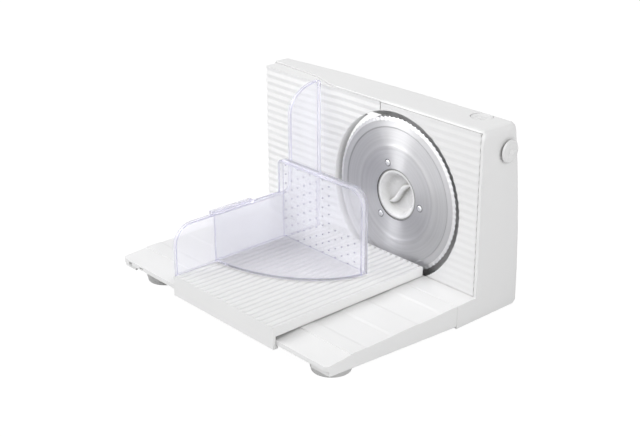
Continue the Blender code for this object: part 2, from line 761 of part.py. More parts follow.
def thickness_knob(look):
    """Fluted knob at the back with the spindle that moves the stop plate."""
    low = collar_face_y() + FIT
    high = low + KNOB_DEPTH
    sections = []
    heights = ((low, KNOB_EDGE / 2), (low + KNOB_EDGE / 2, 0), (high - KNOB_EDGE, 0), (high, KNOB_EDGE))
    for y, inset in heights:
        section = []
        for i in range(KNOB_GRIPS * RIB_STEPS):
            angle = math.tau * i / (KNOB_GRIPS * RIB_STEPS)
            sink = KNOB_GRIP_DEPTH * (1 - math.cos(math.tau * i / RIB_STEPS)) / 2
            radius = KNOB_RADIUS - inset - sink
            section.append((GUIDE_X + radius * math.cos(angle), y, SPINDLE_Z + radius * math.sin(angle)))
        sections.append(section)
    knob = loft("knob", sections)
    spindle = rod("spindle", "Y", (GUIDE_X, SPINDLE_Z), SPINDLE_RADIUS, GUIDE_START, high - KNOB_DEPTH / 2)
    fuse(knob, spindle)
    mark = block("mark", (GUIDE_X - KNOB_GROOVE / 2, high - KNOB_GROOVE, SPINDLE_Z + KNOB_RADIUS / 2),
                 (GUIDE_X + KNOB_GROOVE / 2, high + OVERRUN, SPINDLE_Z + KNOB_RADIUS + OVERRUN))
    cut(knob, mark)
    return node(knob, "thickness_knob", look, (GUIDE_X, low, SPINDLE_Z))


def housing_shell(look):
    """Moulded body: toe, left post, top bar over the slice outlet, and the motor block, open at the front."""
    shell = loft("shell", [shell_section(x) for x in shell_stations()])
    floor_z = SHELL_FLOOR_Z + SHELL_WALL
    deck_under = DECK_Z - SHELL_WALL
    skin_under = TOP_Z - TOP_SKIN
    front_left = block("front_left", (SHELL_WALL - SIDE_LAP, -OVERRUN, DECK_Z),
                       (PANEL_LEFT_X, PLATE_ROOM, skin_under))
    post = hollow("post", SHELL_WALL - SIDE_LAP, POST_WIDTH - SHELL_WALL, -OVERRUN, DECK_Z, skin_under)
    outlet = block("outlet", (POST_WIDTH, -OVERRUN, DECK_Z + OUTLET_SILL),
                   (BLOCK_LEFT_X, REAR_DEPTH_RIGHT + REAR_FLARE + OVERRUN, TOP_Z - TOP_BAR_DEPTH))
    bar_low = TOP_Z - TOP_BAR_DEPTH - SHELL_WALL
    skirt_end = PLATE_SKIRT_X + SEAM
    bar_left = hollow("bar_left", POST_WIDTH, skirt_end, -OVERRUN, bar_low, TOP_Z - SHELL_WALL)
    bar = hollow("bar", skirt_end - SHELL_WALL, BLOCK_LEFT_X, PLATE_ROOM + SHELL_WALL, bar_low,
                 TOP_Z - SHELL_WALL)
    skirt_room = block("skirt_room", (SHELL_WALL - SIDE_LAP, -OVERRUN, PLATE_TOP_Z - PLATE_SKIRT_WALL - SEAM),
                       (skirt_end, PLATE_SKIRT + PLATE_TRAVEL + SEAM, skin_under))
    motor_room = hollow("motor_room", ROOM_LEFT_X, CAVITY_RIGHT_X, -OVERRUN, DECK_Z, TOP_Z - SHELL_WALL)
    cellar = hollow("cellar", SHELL_WALL, CAVITY_RIGHT_X, -TOE_REACH + SHELL_WALL, floor_z, deck_under)
    well = hollow("well", PANEL_LEFT_X, CAVITY_RIGHT_X, PLATE_ROOM, floor_z, DECK_Z + SHELL_WALL)
    rim = prism("rim", rim_outline(), "Z", DECK_Z, TOP_Z + OVERRUN)
    slot = rod("slot", "Y", (BLADE_X, BLADE_Z), RECESS_RADIUS, -FIT, PLATE_ROOM, FINE_SIDES)
    cut(shell, front_left, post, outlet, bar_left, bar, skirt_room, motor_room, cellar, well, rim, slot)
    fuse(shell, *shell_additions())
    cut(shell, *shell_holes())
    return node(shell, "housing_shell", look)


def shell_additions():
    """Collar of the knob, rear seat of the blade's shaft and the shelf of the switch."""
    wall = SHELL_WALL / 2
    inner = rear_y(GUIDE_X, SPINDLE_Z + KNOB_COLLAR_RADIUS) - SHELL_WALL - wall
    collar = rod("collar", "Y", (GUIDE_X, SPINDLE_Z), KNOB_COLLAR_RADIUS, inner, collar_face_y(), ROUND_SIDES)
    outer = rear_y(BLADE_X, BLADE_Z + SEAT_RADIUS) - wall
    seat = rod("seat", "Y", (BLADE_X, BLADE_Z), SEAT_RADIUS, DRIVE_Y + WHEEL_HUB_LENGTH / 2 + EASY_FIT, outer,
               ROUND_SIDES)
    high = TOP_Z - SWITCH_DROP - SWITCH_HEIGHT - FIT
    low_x = TOP_BUTTON_X - SWITCH_WIDTH / 2 - SHELF_SPARE
    high_x = TOP_BUTTON_X + SWITCH_WIDTH / 2 + SHELF_SPARE
    shelf = block("shelf", (low_x, TOP_BUTTON_Y - SWITCH_DEPTH / 2 - SHELF_SPARE, high - SHELF_THICK),
                  (high_x, rear_y(high_x, high) - wall, high))
    return collar, seat, shelf


def panel_screw_places():
    """Where the front panel's bosses stand and its screws go in, as (x, z)."""
    high = TOP_Z - PANEL_SCREW_DROP
    return ((PANEL_SCREW_X, DECK_Z + PANEL_SCREW_RISE), (PANEL_SCREW_X, high),
            (PANEL_SCREW_X - PANEL_SCREW_PITCH, high))


def toe_screw_places():
    """Where the base plate is screwed to the toe, as (x, z)."""
    last = HOUSING_WIDTH - TOE_SCREW_INSET
    return [(x, DECK_Z - TOE_SCREW_DROP) for x in spread(TOE_SCREW_INSET, last, TOE_SCREWS)]


def rear_foot_places():
    return ((REAR_FOOT_INSET, REAR_FOOT_Y), (HOUSING_WIDTH - REAR_FOOT_INSET, REAR_FOOT_Y))


def shell_holes():
    """Holes of the buttons, spindle, shaft, screws, rear feet and cord inlet, and the vents."""
    back = REAR_DEPTH_RIGHT + REAR_FLARE + OVERRUN
    holes = [rod("spindle_hole", "Y", (GUIDE_X, SPINDLE_Z), SPINDLE_RADIUS + EASY_FIT, PLATE_ROOM, back),
             rod("shaft_hole", "Y", (BLADE_X, BLADE_Z), SHAFT_RADIUS + EASY_FIT, PLATE_ROOM, SHAFT_END + FIT,
                 ROUND_SIDES),
             rod("top_hole", "Z", (TOP_BUTTON_X, TOP_BUTTON_Y), TOP_BUTTON_RADIUS + BUTTON_FIT,
                 TOP_Z - SWITCH_DROP, TOP_Z + OVERRUN, ROUND_SIDES),
             rod("side_hole", "X", (SIDE_BUTTON_Y, SIDE_BUTTON_Z), BUTTON_STEM + BUTTON_FIT,
                 CAVITY_RIGHT_X - SHELL_WALL, HOUSING_WIDTH + OVERRUN),
             rod("inlet_hole", "Y", (INLET_X, DECK_Z + INLET_RISE), INLET_RADIUS + FIT, PLATE_ROOM, back)]
    for x, z in panel_screw_places():
        face = rear_y(x, z + SCREW_HEAD)
        holes.append(rod("screw_hole", "Y", (x, z), SCREW_RADIUS + FIT, face - OVERRUN / 2, back))
        holes.append(rod("screw_sink", "Y", (x, z), SCREW_HEAD + FIT, face - SHELL_WALL / 2, back))
    toe_end = -TOE_REACH + 2 * SHELL_WALL
    for x, z in toe_screw_places():
        holes.append(rod("toe_hole", "Y", (x, z), SCREW_RADIUS + FIT, -TOE_REACH - OVERRUN, toe_end))
    for x, y in rear_foot_places():
        holes.append(rod("foot_hole", "Z", (x, y), REAR_FOOT_STEM + FIT, 0, SHELL_FLOOR_Z + 2 * SHELL_WALL))
    for i in range(VENT_COUNT):
        x = MOTOR_START_X + MOTOR_LENGTH / 2 + (i - (VENT_COUNT - 1) / 2) * VENT_PITCH
        z = DECK_Z + VENT_RISE
        holes.append(block("vent", (x - VENT_WIDTH / 2, MOTOR_RADIUS + DRIVE_Y, z - VENT_HEIGHT / 2),
                           (x + VENT_WIDTH / 2, back, z + VENT_HEIGHT / 2)))
    return holes


def front_panel(look):
    """Ribbed panel round the right of the blade, with the pan behind the blade and its bearing seat."""
    stations = [SLIT_X, BLADE_X, BLADE_X + BLADE_RADIUS, PANEL_RIGHT_X]
    depths = [FADED_RIB_DEPTH, FADED_RIB_DEPTH, FACE_RIB_DEPTH, FACE_RIB_DEPTH]
    sections = []
    for x, depth in zip(stations, depths):
        front = [(x, sink, z) for z, sink in ribbed(FACE_RIBS, DECK_Z, FACE_TOP_Z, depth)]
        sections.append(front + [(x, PANEL_THICK, FACE_TOP_Z), (x, PANEL_THICK, DECK_Z)])
    panel = loft("panel", sections)
    pan_back = PAN_FLOOR_Y + PAN_FLOOR
    centre = (BLADE_X, BLADE_Z)
    pan = rod("pan", "Y", centre, RECESS_RADIUS + PAN_WALL, PANEL_THICK / 2, pan_back, FINE_SIDES)
    fuse(panel, pan)
    far = pan_back + OVERRUN
    left = block("left", (0, -OVERRUN, 0), (BLADE_X - PAN_LEFT_REACH, far, TOP_Z + OVERRUN))
    edge = block("edge", (0, -OVERRUN, 0), (PANEL_LEFT_X, far, TOP_Z + OVERRUN))
    cut(edge, rod("floor_left", "Y", centre, BLADE_RADIUS, PAN_FLOOR_Y, far + OVERRUN, FINE_SIDES))
    below = block("below", (0, -OVERRUN, 0), (HOUSING_WIDTH + OVERRUN, far, DECK_Z + FIT))
    cut(panel, left, edge, below)
    recess = rod("recess", "Y", centre, RECESS_RADIUS, -OVERRUN, PAN_FLOOR_Y, FINE_SIDES)
    cut(panel, recess)
    seat = rod("seat", "Y", centre, SEAT_RADIUS, PAN_FLOOR_Y + PAN_FLOOR / 2, SEAT_END, ROUND_SIDES)
    bosses = []
    for x, z in panel_screw_places():
        bosses.append(rod("boss", "Y", (x, z), PANEL_BOSS, PANEL_THICK / 2, inner_back(x, z, PANEL_BOSS)))
    fuse(panel, seat, *bosses)
    bush = SHAFT_RADIUS + FIT + BUSH_WALL + FIT
    pilots = []
    for x, z in panel_screw_places():
        face = rear_y(x, z)
        start = face - SHELL_WALL - SCREW_LENGTH
        pilots.append(rod("pilot", "Y", (x, z), SCREW_RADIUS + FIT, start, face + OVERRUN))
    cut(panel, rod("bore", "Y", centre, bush, 0, SEAT_END + OVERRUN, ROUND_SIDES), *pilots)
    return node(panel, "front_panel", look)


def shaft_bush(look):
    """Flanged bearing bush of the blade's shaft, in the seat behind the pan."""
    inner = SHAFT_RADIUS + FIT
    outer = inner + BUSH_WALL
    flange_y = SEAT_END + FIT
    profile = [(inner, flange_y - BUSH_LENGTH), (outer, flange_y - BUSH_LENGTH), (outer, flange_y),
               (SEAT_RADIUS - BUSH_FLANGE, flange_y), (SEAT_RADIUS - BUSH_FLANGE, flange_y + BUSH_FLANGE),
               (inner, flange_y + BUSH_FLANGE)]
    return node(turned("bush", profile, "Y", (BLADE_X, BLADE_Z)), "shaft_bush", look)


def panel_screws(look):
    """Screws that hold the front panel from behind."""
    screws = []
    for x, z in panel_screw_places():
        head = rear_y(x, z + SCREW_HEAD) - SHELL_WALL / 2 + FIT
        profile = [(0, head - SCREW_LENGTH), (SCREW_RADIUS, head - SCREW_LENGTH), (SCREW_RADIUS, head),
                   (SCREW_HEAD, head), (SCREW_HEAD, head + SCREW_HEAD_HEIGHT / 2),
                   (SCREW_HEAD / 2, head + SCREW_HEAD_HEIGHT), (0, head + SCREW_HEAD_HEIGHT)]
        screws.append(turned("screw", profile, "Y", (x, z), SMALL_SIDES))
    return copies(screws, ("panel_screw_low", "panel_screw_high", "panel_screw_top"), look)


def toe_screws(look):
    """Screws inside the toe that hold the base plate."""
    screws = []
    head = -TOE_REACH + SHELL_WALL + FIT
    for x, z in toe_screw_places():
        profile = [(0, head - SCREW_LENGTH), (SCREW_RADIUS, head - SCREW_LENGTH), (SCREW_RADIUS, head),
                   (SCREW_HEAD, head), (SCREW_HEAD, head + SCREW_HEAD_HEIGHT), (0, head + SCREW_HEAD_HEIGHT)]
        screws.append(turned("screw", profile, "Y", (x, z), SMALL_SIDES))
    return copies(screws, [f"base_screw_{i + 1}" for i in range(TOE_SCREWS)], look)


def stitch(bm, first, second):
    """Triangles between two rings of different counts, advancing by share of the turn."""
    i = j = 0
    while i < len(first) or j < len(second):
        here, there = first[i % len(first)], second[j % len(second)]
        if j == len(second) or (i < len(first) and (i + 1) / len(first) <= (j + 1) / len(second)):
            bm.faces.new((here, first[(i + 1) % len(first)], there))
            i += 1
        else:
            bm.faces.new((here, second[(j + 1) % len(second)], there))
            j += 1


def blade(look):
    """Dished disc with a ground bevel, a pressed ring and saw-like teeth all round."""
    edge = []
    for i in range(BLADE_TEETH * TOOTH_STEPS):
        radius = BLADE_RADIUS - TOOTH_DEPTH * (i % TOOTH_STEPS) / (TOOTH_STEPS - 1)
        edge.append((radius, math.tau * i / (BLADE_TEETH * TOOTH_STEPS)))
    crest_y = BLADE_EDGE_Y - BEVEL_RISE
    back_y = DISC_Y + BLADE_THICK
    front = [(BEVEL_ROOT_SHARE, crest_y), (BEVEL_INNER_SHARE, crest_y), (BEVEL_FOOT_SHARE, DISC_Y),
             (EMBOSS_OUTER_SHARE, DISC_Y), (EMBOSS_CREST_SHARE, DISC_Y - EMBOSS_RISE),
             (EMBOSS_INNER_SHARE, DISC_Y - EMBOSS_RISE), (EMBOSS_FOOT_SHARE, DISC_Y)]
    rings = [(BLADE_RADIUS * share, y) for share, y in front]
    rings += [(BLADE_BORE, DISC_Y), (BLADE_BORE, back_y), (BLADE_RADIUS * BACK_GRIND_SHARE, back_y)]
    bm = bmesh.new()

    def place(radius, angle, y):
        return bm.verts.new((BLADE_X + radius * math.cos(angle), y, BLADE_Z + radius * math.sin(angle)))

    rim = [place(radius, angle, BLADE_EDGE_Y) for radius, angle in edge]
    loops = [[place(radius, math.tau * i / FINE_SIDES, y) for i in range(FINE_SIDES)] for radius, y in rings]
    stitch(bm, rim, loops[0])
    stitch(bm, rim, loops[-1])
    for first, second in zip(loops, loops[1:]):
        for i in range(FINE_SIDES):
            j = (i + 1) % FINE_SIDES
            bm.faces.new((first[i], first[j], second[j], second[i]))
    disc = solid("disc", bm)
    holes = [rod("hole", "Y", place_2d, RIVET_RADIUS + FIT, -OVERRUN, OVERRUN) for place_2d in rivet_places()]
    cut(disc, *holes)
    return node(disc, "blade", look, (BLADE_X, BLADE_EDGE_Y, BLADE_Z))


def rivet_places():
    places = []
    for i in range(RIVET_COUNT):
        angle = math.radians(RIVET_TURN) + math.tau * i / RIVET_COUNT
        places.append((BLADE_X + RIVET_CIRCLE * math.cos(angle), BLADE_Z + RIVET_CIRCLE * math.sin(angle)))
    return places


def blade_rivets(look):
    """Rivets through the blade into its carrier."""
    foot = DISC_Y - FIT
    end = DISC_Y + BLADE_THICK + CARRIER_THICK
    crown = foot - RIVET_HEAD_RISE
    profile = [(0, crown), (RIVET_HEAD / 2, crown), (RIVET_HEAD, foot - RIVET_HEAD_RISE / 3),
               (RIVET_HEAD, foot), (RIVET_RADIUS, foot), (RIVET_RADIUS, end), (0, end)]
    rivets = [turned("rivet", profile, "Y", place, SMALL_SIDES) for place in rivet_places()]
    names = [f"blade_rivet_{i + 1}" for i in range(RIVET_COUNT)]
    return copies(rivets, names, look, (BLADE_X, BLADE_EDGE_Y, BLADE_Z))


def blade_carrier(look):
    """Plastic hub behind the blade: it centres the blade, holds the lock's cup and grips the shaft."""
    nose = BLADE_BORE - FIT
    mouth = LOCK_RADIUS + EASY_FIT
    seat = LOCK_SEAT_Y + EASY_FIT
    cup_high = LOCK_RADIUS - LOCK_RIM_WIDTH + LOCK_WALL + EASY_FIT
    cup_low = LOCK_FLOOR_RADIUS + LOCK_WALL + EASY_FIT
    plate_back = CARRIER_Y + CARRIER_THICK
    sleeve_end = CUP_BACK_Y + CARRIER_SLEEVE_LENGTH
    bore = SHAFT_RADIUS + FIT
    socket_end = CUP_FLOOR_Y + LOCK_SOCKET_DEPTH
    front = DISC_Y + CARRIER_NOSE_SINK
    profile = [(0, socket_end), (LOCK_SOCKET, socket_end), (LOCK_SOCKET, CUP_FLOOR_Y), (cup_low, CUP_FLOOR_Y),
               (cup_high, seat), (mouth, seat), (mouth, front), (nose, front), (nose, CARRIER_Y),
               (CARRIER_RADIUS, CARRIER_Y), (CARRIER_RADIUS, plate_back),
               (cup_high + CARRIER_CUP_WALL, plate_back), (cup_low + CARRIER_CUP_WALL, CUP_BACK_Y),
               (CARRIER_SLEEVE, CUP_BACK_Y), (CARRIER_SLEEVE, sleeve_end), (bore, sleeve_end),
               (bore, CUP_BACK_Y), (0, CUP_BACK_Y)]
    hub = turned("hub", profile, "Y", (BLADE_X, BLADE_Z))
    holes = [rod("hole", "Y", place, RIVET_RADIUS + FIT, 0, CARRIER_Y + OVERRUN) for place in rivet_places()]
    cut(hub, *holes)
    return node(hub, "blade_carrier", look, (BLADE_X, BLADE_EDGE_Y, BLADE_Z))


def blade_shaft(look):
    """Steel shaft from the carrier through the bush to the seat in the housing's back."""
    return node(rod("shaft", "Y", (BLADE_X, BLADE_Z), SHAFT_RADIUS, SHAFT_START, SHAFT_END, ROUND_SIDES),
                "blade_shaft", look, (BLADE_X, BLADE_EDGE_Y, BLADE_Z))


def grip_outline(inset):
    """S-shaped outline of the lock's grip about the blade's centre, in the cross plane."""
    half = GRIP_LENGTH / 2 - inset
    upper = []
    for t in spread(-1, 1, 2 * CORNER_STEPS - 1):
        width = (GRIP_WIDTH / 2 - inset) * math.sqrt(max(1 - t ** 4, 0)) * (1 - GRIP_WAIST_SHARE * t ** 2)
        upper.append((half * t, GRIP_SWEEP * math.sin(math.pi * t), width))
    outline = [(x, sweep + width) for x, sweep, width in upper]
    outline += [(x, sweep - width) for x, sweep, width in reversed(upper[1:-1])]
    turn = math.radians(GRIP_TURN)
    along, across = math.cos(turn), math.sin(turn)
    return [(x * along - z * across, x * across + z * along) for x, z in outline]


def blade_lock(look):
    """Cup in the blade's middle, turned by the S-shaped grip across it to free the blade."""
    inner = LOCK_RADIUS - LOCK_RIM_WIDTH
    under = LOCK_FLOOR_Y + LOCK_WALL
    stem = LOCK_SOCKET - EASY_FIT
    stem_end = CUP_FLOOR_Y + LOCK_SOCKET_DEPTH - FIT
    rim = LOCK_RIM_Y + LOCK_RIM_EDGE
    round_y = LOCK_FLOOR_Y - LOCK_FLOOR_ROUND
    profile = [(0, LOCK_FLOOR_Y), (LOCK_FLOOR_RADIUS - LOCK_FLOOR_ROUND, LOCK_FLOOR_Y),
               (LOCK_FLOOR_RADIUS, round_y), (inner, rim), (inner + LOCK_RIM_EDGE, LOCK_RIM_Y),
               (LOCK_RADIUS - LOCK_RIM_EDGE, LOCK_RIM_Y), (LOCK_RADIUS, rim),
               (LOCK_RADIUS, LOCK_SEAT_Y), (inner + LOCK_WALL, LOCK_SEAT_Y),
               (LOCK_FLOOR_RADIUS + LOCK_WALL, round_y), (LOCK_FLOOR_RADIUS, under), (stem, under),
               (stem, stem_end), (0, stem_end)]
    cup = turned("cup", profile, "Y", (BLADE_X, BLADE_Z))
    top = LOCK_RIM_Y + GRIP_SINK
    heights = ((LOCK_FLOOR_Y + LOCK_WALL / 2, 0), (top + GRIP_EDGE, 0), (top, GRIP_EDGE * GRIP_TOP_SHARE))
    sections = []
    for y, inset in heights:
        sections.append([(BLADE_X + a, y, BLADE_Z + b) for a, b in grip_outline(inset)])
    fuse(cup, loft("grip", sections))
    return node(cup, "blade_lock", look, (BLADE_X, LOCK_RIM_Y, BLADE_Z))


def drive_wheel(look):
    """Toothed wheel on the blade's shaft, with one tooth straight down at the worm."""
    outline = []
    for i in range(WHEEL_TEETH):
        middle = -math.pi / 2 + math.tau * i / WHEEL_TEETH
        for radius, thick, side in ((WHEEL_RADIUS - TOOTH_DEDENDUM, WHEEL_TOOTH_AT_ROOT, -1),
                                    (WHEEL_RADIUS + TOOTH_ADDENDUM, WHEEL_TOOTH_AT_TIP, -1),
                                    (WHEEL_RADIUS + TOOTH_ADDENDUM, WHEEL_TOOTH_AT_TIP, 1),
                                    (WHEEL_RADIUS - TOOTH_DEDENDUM, WHEEL_TOOTH_AT_ROOT, 1)):
            angle = middle + side * thick / 2 / radius
            outline.append((BLADE_X + radius * math.cos(angle), BLADE_Z + radius * math.sin(angle)))
    low, high = DRIVE_Y - WHEEL_FACE / 2, DRIVE_Y + WHEEL_FACE / 2
    wheel = prism("wheel", outline, "Y", low, high)
    rim = WHEEL_RADIUS - TOOTH_DEDENDUM - WHEEL_RIM
    hub_low = DRIVE_Y - WHEEL_HUB_LENGTH / 2
    hub_high = DRIVE_Y + WHEEL_HUB_LENGTH / 2
    web = WHEEL_WEB / 2
    centre = (BLADE_X, BLADE_Z)
    front_pocket = tube("front_pocket", "Y", centre, WHEEL_HUB, rim, low - OVERRUN, DRIVE_Y - web)
    back_pocket = tube("back_pocket", "Y", centre, WHEEL_HUB, rim, DRIVE_Y + web, high + OVERRUN)
    cut(wheel, front_pocket, back_pocket)
    fuse(wheel, rod("hub", "Y", centre, WHEEL_HUB, hub_low, hub_high, ROUND_SIDES))
    bore = rod("bore", "Y", centre, SHAFT_RADIUS + FIT, hub_low - OVERRUN, hub_high + OVERRUN, ROUND_SIDES)
    cut(wheel, bore)
    return node(wheel, "drive_wheel", look, (BLADE_X, BLADE_EDGE_Y, BLADE_Z))


def worm_thread():
    """One helical tooth round the worm, as a swept trapezoid with closed ends."""
    root = WORM_RADIUS - TOOTH_DEDENDUM - EASY_FIT
    tip = WORM_RADIUS + TOOTH_ADDENDUM
    profile = ((root, -WORM_TOOTH_AT_ROOT / 2), (tip, -WORM_TOOTH_AT_TIP / 2),
               (tip, WORM_TOOTH_AT_TIP / 2), (root, WORM_TOOTH_AT_ROOT / 2))
    steps = WORM_TURNS * WORM_STEPS
    sections = []
    for i in range(steps + 1):
        turn = math.tau * (i / WORM_STEPS - WORM_TURNS / 2 + 1 / 2)
        along = BLADE_X + TOOTH_PITCH * (i / WORM_STEPS - WORM_TURNS / 2)
        sections.append([(along + x, DRIVE_Y - radius * math.sin(turn), WORM_Z + radius * math.cos(turn))
                         for radius, x in profile])
    return loft("thread", sections)


def worm_shaft(look):
    """Motor shaft with the worm under the drive wheel."""
    half = TOOTH_PITCH * WORM_TURNS / 2 + WORM_CORE_SPARE
    core = WORM_RADIUS - TOOTH_DEDENDUM
    start = MOUNT_LEFT_X - EASY_FIT
    end = MOTOR_START_X - MOTOR_NOSE + MOTOR_SHAFT_DEPTH
    low, high = BLADE_X - half, BLADE_X + half
    profile = [(0, start), (MOTOR_SHAFT_RADIUS, start), (MOTOR_SHAFT_RADIUS, low), (core, low), (core, high),
               (MOTOR_SHAFT_RADIUS, high), (MOTOR_SHAFT_RADIUS, end), (0, end)]
    shaft = turned("shaft", profile, "X", (DRIVE_Y, WORM_Z), SMALL_SIDES)
    fuse(shaft, worm_thread())
    return node(shaft, "worm_shaft", look, (BLADE_X, DRIVE_Y, WORM_Z))


def motor(look):
    """Motor can with a nose that its shaft comes out of."""
    nose = MOTOR_START_X - MOTOR_NOSE
    bore = MOTOR_SHAFT_RADIUS + EASY_FIT
    end = MOTOR_START_X + MOTOR_LENGTH
    depth = nose + MOTOR_SHAFT_DEPTH + EASY_FIT
    face = MOTOR_RADIUS - MOTOR_EDGE
    profile = [(bore, nose), (MOTOR_NOSE_RADIUS, nose), (MOTOR_NOSE_RADIUS, MOTOR_START_X),
               (face, MOTOR_START_X), (MOTOR_RADIUS, MOTOR_START_X + MOTOR_EDGE),
               (MOTOR_RADIUS, end - MOTOR_EDGE), (face, end), (0, end), (0, depth), (bore, depth)]
    return node(turned("can", profile, "X", (DRIVE_Y, WORM_Z)), "motor", look)


def motor_mount(look):
    """Bent sheet on the housing's floor: it holds the motor's nose and the worm's free end."""
    floor = SHELL_FLOOR_Z + SHELL_WALL + FIT
    top = WORM_Z + MOUNT_TOP_SPARE
    left = MOUNT_LEFT_X
    right = MOTOR_START_X - FIT
    outline = [(left, floor), (right + MOUNT_FOOT, floor), (right + MOUNT_FOOT, floor + MOUNT_SHEET),
               (right, floor + MOUNT_SHEET), (right, top), (right - MOUNT_SHEET, top),
               (right - MOUNT_SHEET, floor + MOUNT_SHEET), (left + MOUNT_SHEET, floor + MOUNT_SHEET),
               (left + MOUNT_SHEET, top), (left, top)]
    sheet = prism("sheet", outline, "Y", DRIVE_Y - MOUNT_HALF_DEPTH, DRIVE_Y + MOUNT_HALF_DEPTH)
    centre = (DRIVE_Y, WORM_Z)
    free = rod("free", "X", centre, MOTOR_SHAFT_RADIUS + EASY_FIT, left - OVERRUN, left + MOUNT_SHEET * 2)
    nose = rod("nose", "X", centre, MOTOR_NOSE_RADIUS + FIT, right - MOUNT_SHEET * 2, right + MOUNT_FOOT,
               ROUND_SIDES)
    cut(sheet, free, nose)
    return node(sheet, "motor_mount", look)


def switch_block(look):
    """Switch under the top button, on a shelf of the housing's back."""
    high = TOP_Z - SWITCH_DROP
    wide, deep = SWITCH_WIDTH / 2, SWITCH_DEPTH / 2
    box = block("switch", (TOP_BUTTON_X - wide, TOP_BUTTON_Y - deep, high - SWITCH_HEIGHT),
                (TOP_BUTTON_X + wide, TOP_BUTTON_Y + deep, high))
    return node(box, "switch_block", look)


def top_button(look):
    """Shallow dished button in the top face."""
    high = TOP_Z - TOP_BUTTON_SINK
    low = high - TOP_BUTTON_THICK
    foot = TOP_Z - SWITCH_DROP + TOP_BUTTON_TRAVEL + FIT
    wide, narrow = TOP_BUTTON_DISH_SHARES
    dish = high - TOP_BUTTON_DISH
    profile = [(0, foot), (BUTTON_STEM, foot), (BUTTON_STEM, low), (TOP_BUTTON_RADIUS, low),
               (TOP_BUTTON_RADIUS, high - TOP_BUTTON_SINK), (TOP_BUTTON_RADIUS - TOP_BUTTON_SINK, high),
               (TOP_BUTTON_RADIUS * wide, high - TOP_BUTTON_DISH / 2), (TOP_BUTTON_RADIUS * narrow, dish),
               (0, dish)]
    centre = (TOP_BUTTON_X, TOP_BUTTON_Y)
    return node(turned("button", profile, "Z", centre), "top_button", look, (*centre, high))


def side_button(look):
    """Round button on the right end, with a dimple in its middle."""
    inner = HOUSING_WIDTH + SIDE_BUTTON_TRAVEL + FIT
    outer = HOUSING_WIDTH + SIDE_BUTTON_PROUD
    tip = TOP_BUTTON_X + SWITCH_WIDTH / 2 + SIDE_BUTTON_TRAVEL + FIT
    profile = [(0, tip), (BUTTON_STEM, tip), (BUTTON_STEM, inner), (SIDE_BUTTON_RADIUS, inner),
               (SIDE_BUTTON_RADIUS, outer - SIDE_BUTTON_EDGE), (SIDE_BUTTON_RADIUS - SIDE_BUTTON_EDGE, outer),
               (SIDE_BUTTON_DIMPLE, outer), (SIDE_BUTTON_DIMPLE / 2, outer - SIDE_BUTTON_DIMPLE_DEPTH),
               (0, outer - SIDE_BUTTON_DIMPLE_DEPTH)]
    centre = (SIDE_BUTTON_Y, SIDE_BUTTON_Z)
    return node(turned("button", profile, "X", centre), "side_button", look, (outer, *centre))


def cord_inlet(look):
    """Flanged bush in the back where the supply cord would enter."""
    z = DECK_Z + INLET_RISE
    face = rear_y(INLET_X, z - INLET_FLANGE) + FIT
    inside = rear_y(INLET_X, z) - SHELL_WALL * 2
    edge = INLET_FLANGE_THICK / 2
    profile = [(INLET_BORE, inside), (INLET_RADIUS, inside), (INLET_RADIUS, face), (INLET_FLANGE, face),
               (INLET_FLANGE, face + edge), (INLET_FLANGE - edge, face + INLET_FLANGE_THICK),
               (INLET_BORE, face + INLET_FLANGE_THICK)]
    return node(turned("inlet", profile, "Y", (INLET_X, z)), "cord_inlet", look)


def skirt_drop(y):
    """How far the base plate's side hangs below the deck at a distance y in front of the face."""
    share = (y - TOE_REACH) / (BASE_FRONT - TOE_REACH)
    return SKIRT_REAR_DROP + (SKIRT_FRONT_DROP - SKIRT_REAR_DROP) * share


def base_outline():
    """Side view of the base plate as (y, z): shallow channels, a step and a front strip that falls away."""
    rear = TOE_REACH + FIT
    deck = []
    for front, back in ((OUTER_CHANNEL_FRONT, OUTER_CHANNEL_REAR), (INNER_CHANNEL_FRONT, INNER_CHANNEL_REAR)):
        deck += [(-front, DECK_Z), (-front + CHANNEL_RUN, DECK_Z - CHANNEL_DEPTH),
                 (-back - CHANNEL_RUN, DECK_Z - CHANNEL_DEPTH), (-back, DECK_Z)]
    outline = [(-BASE_FRONT, DECK_Z - skirt_drop(BASE_FRONT)), (-BASE_FRONT, DECK_Z - DECK_FALL),
               (-DECK_STEP_Y, DECK_Z - DECK_STEP), (-DECK_STEP_Y, DECK_Z)] + deck
    return outline + [(-rear, DECK_Z), (-rear, DECK_Z - skirt_drop(rear))]


def base_pocket(x_low, x_high, front, rear):
    """Cutter for one hollow under the deck."""
    return block("pocket", (x_low, -front, -OVERRUN), (x_high, -rear, DECK_CEILING_Z))


def base_corners():
    """Cutters that round the deck's two front corners in plan."""
    cutters = []
    y = -BASE_FRONT + BASE_CORNER
    left, right = BASE_LEFT_X + BASE_CORNER, HOUSING_WIDTH - BASE_CORNER
    for x, low, high in ((left, left - OVERRUN, left), (right, right, right + OVERRUN)):
        corner = block("corner", (low, -BASE_FRONT - OVERRUN, 0), (high, y, TOP_Z))
        cut(corner, rod("round", "Z", (x, y), BASE_CORNER, -OVERRUN, TOP_Z + OVERRUN, ROUND_SIDES))
        cutters.append(corner)
    return cutters


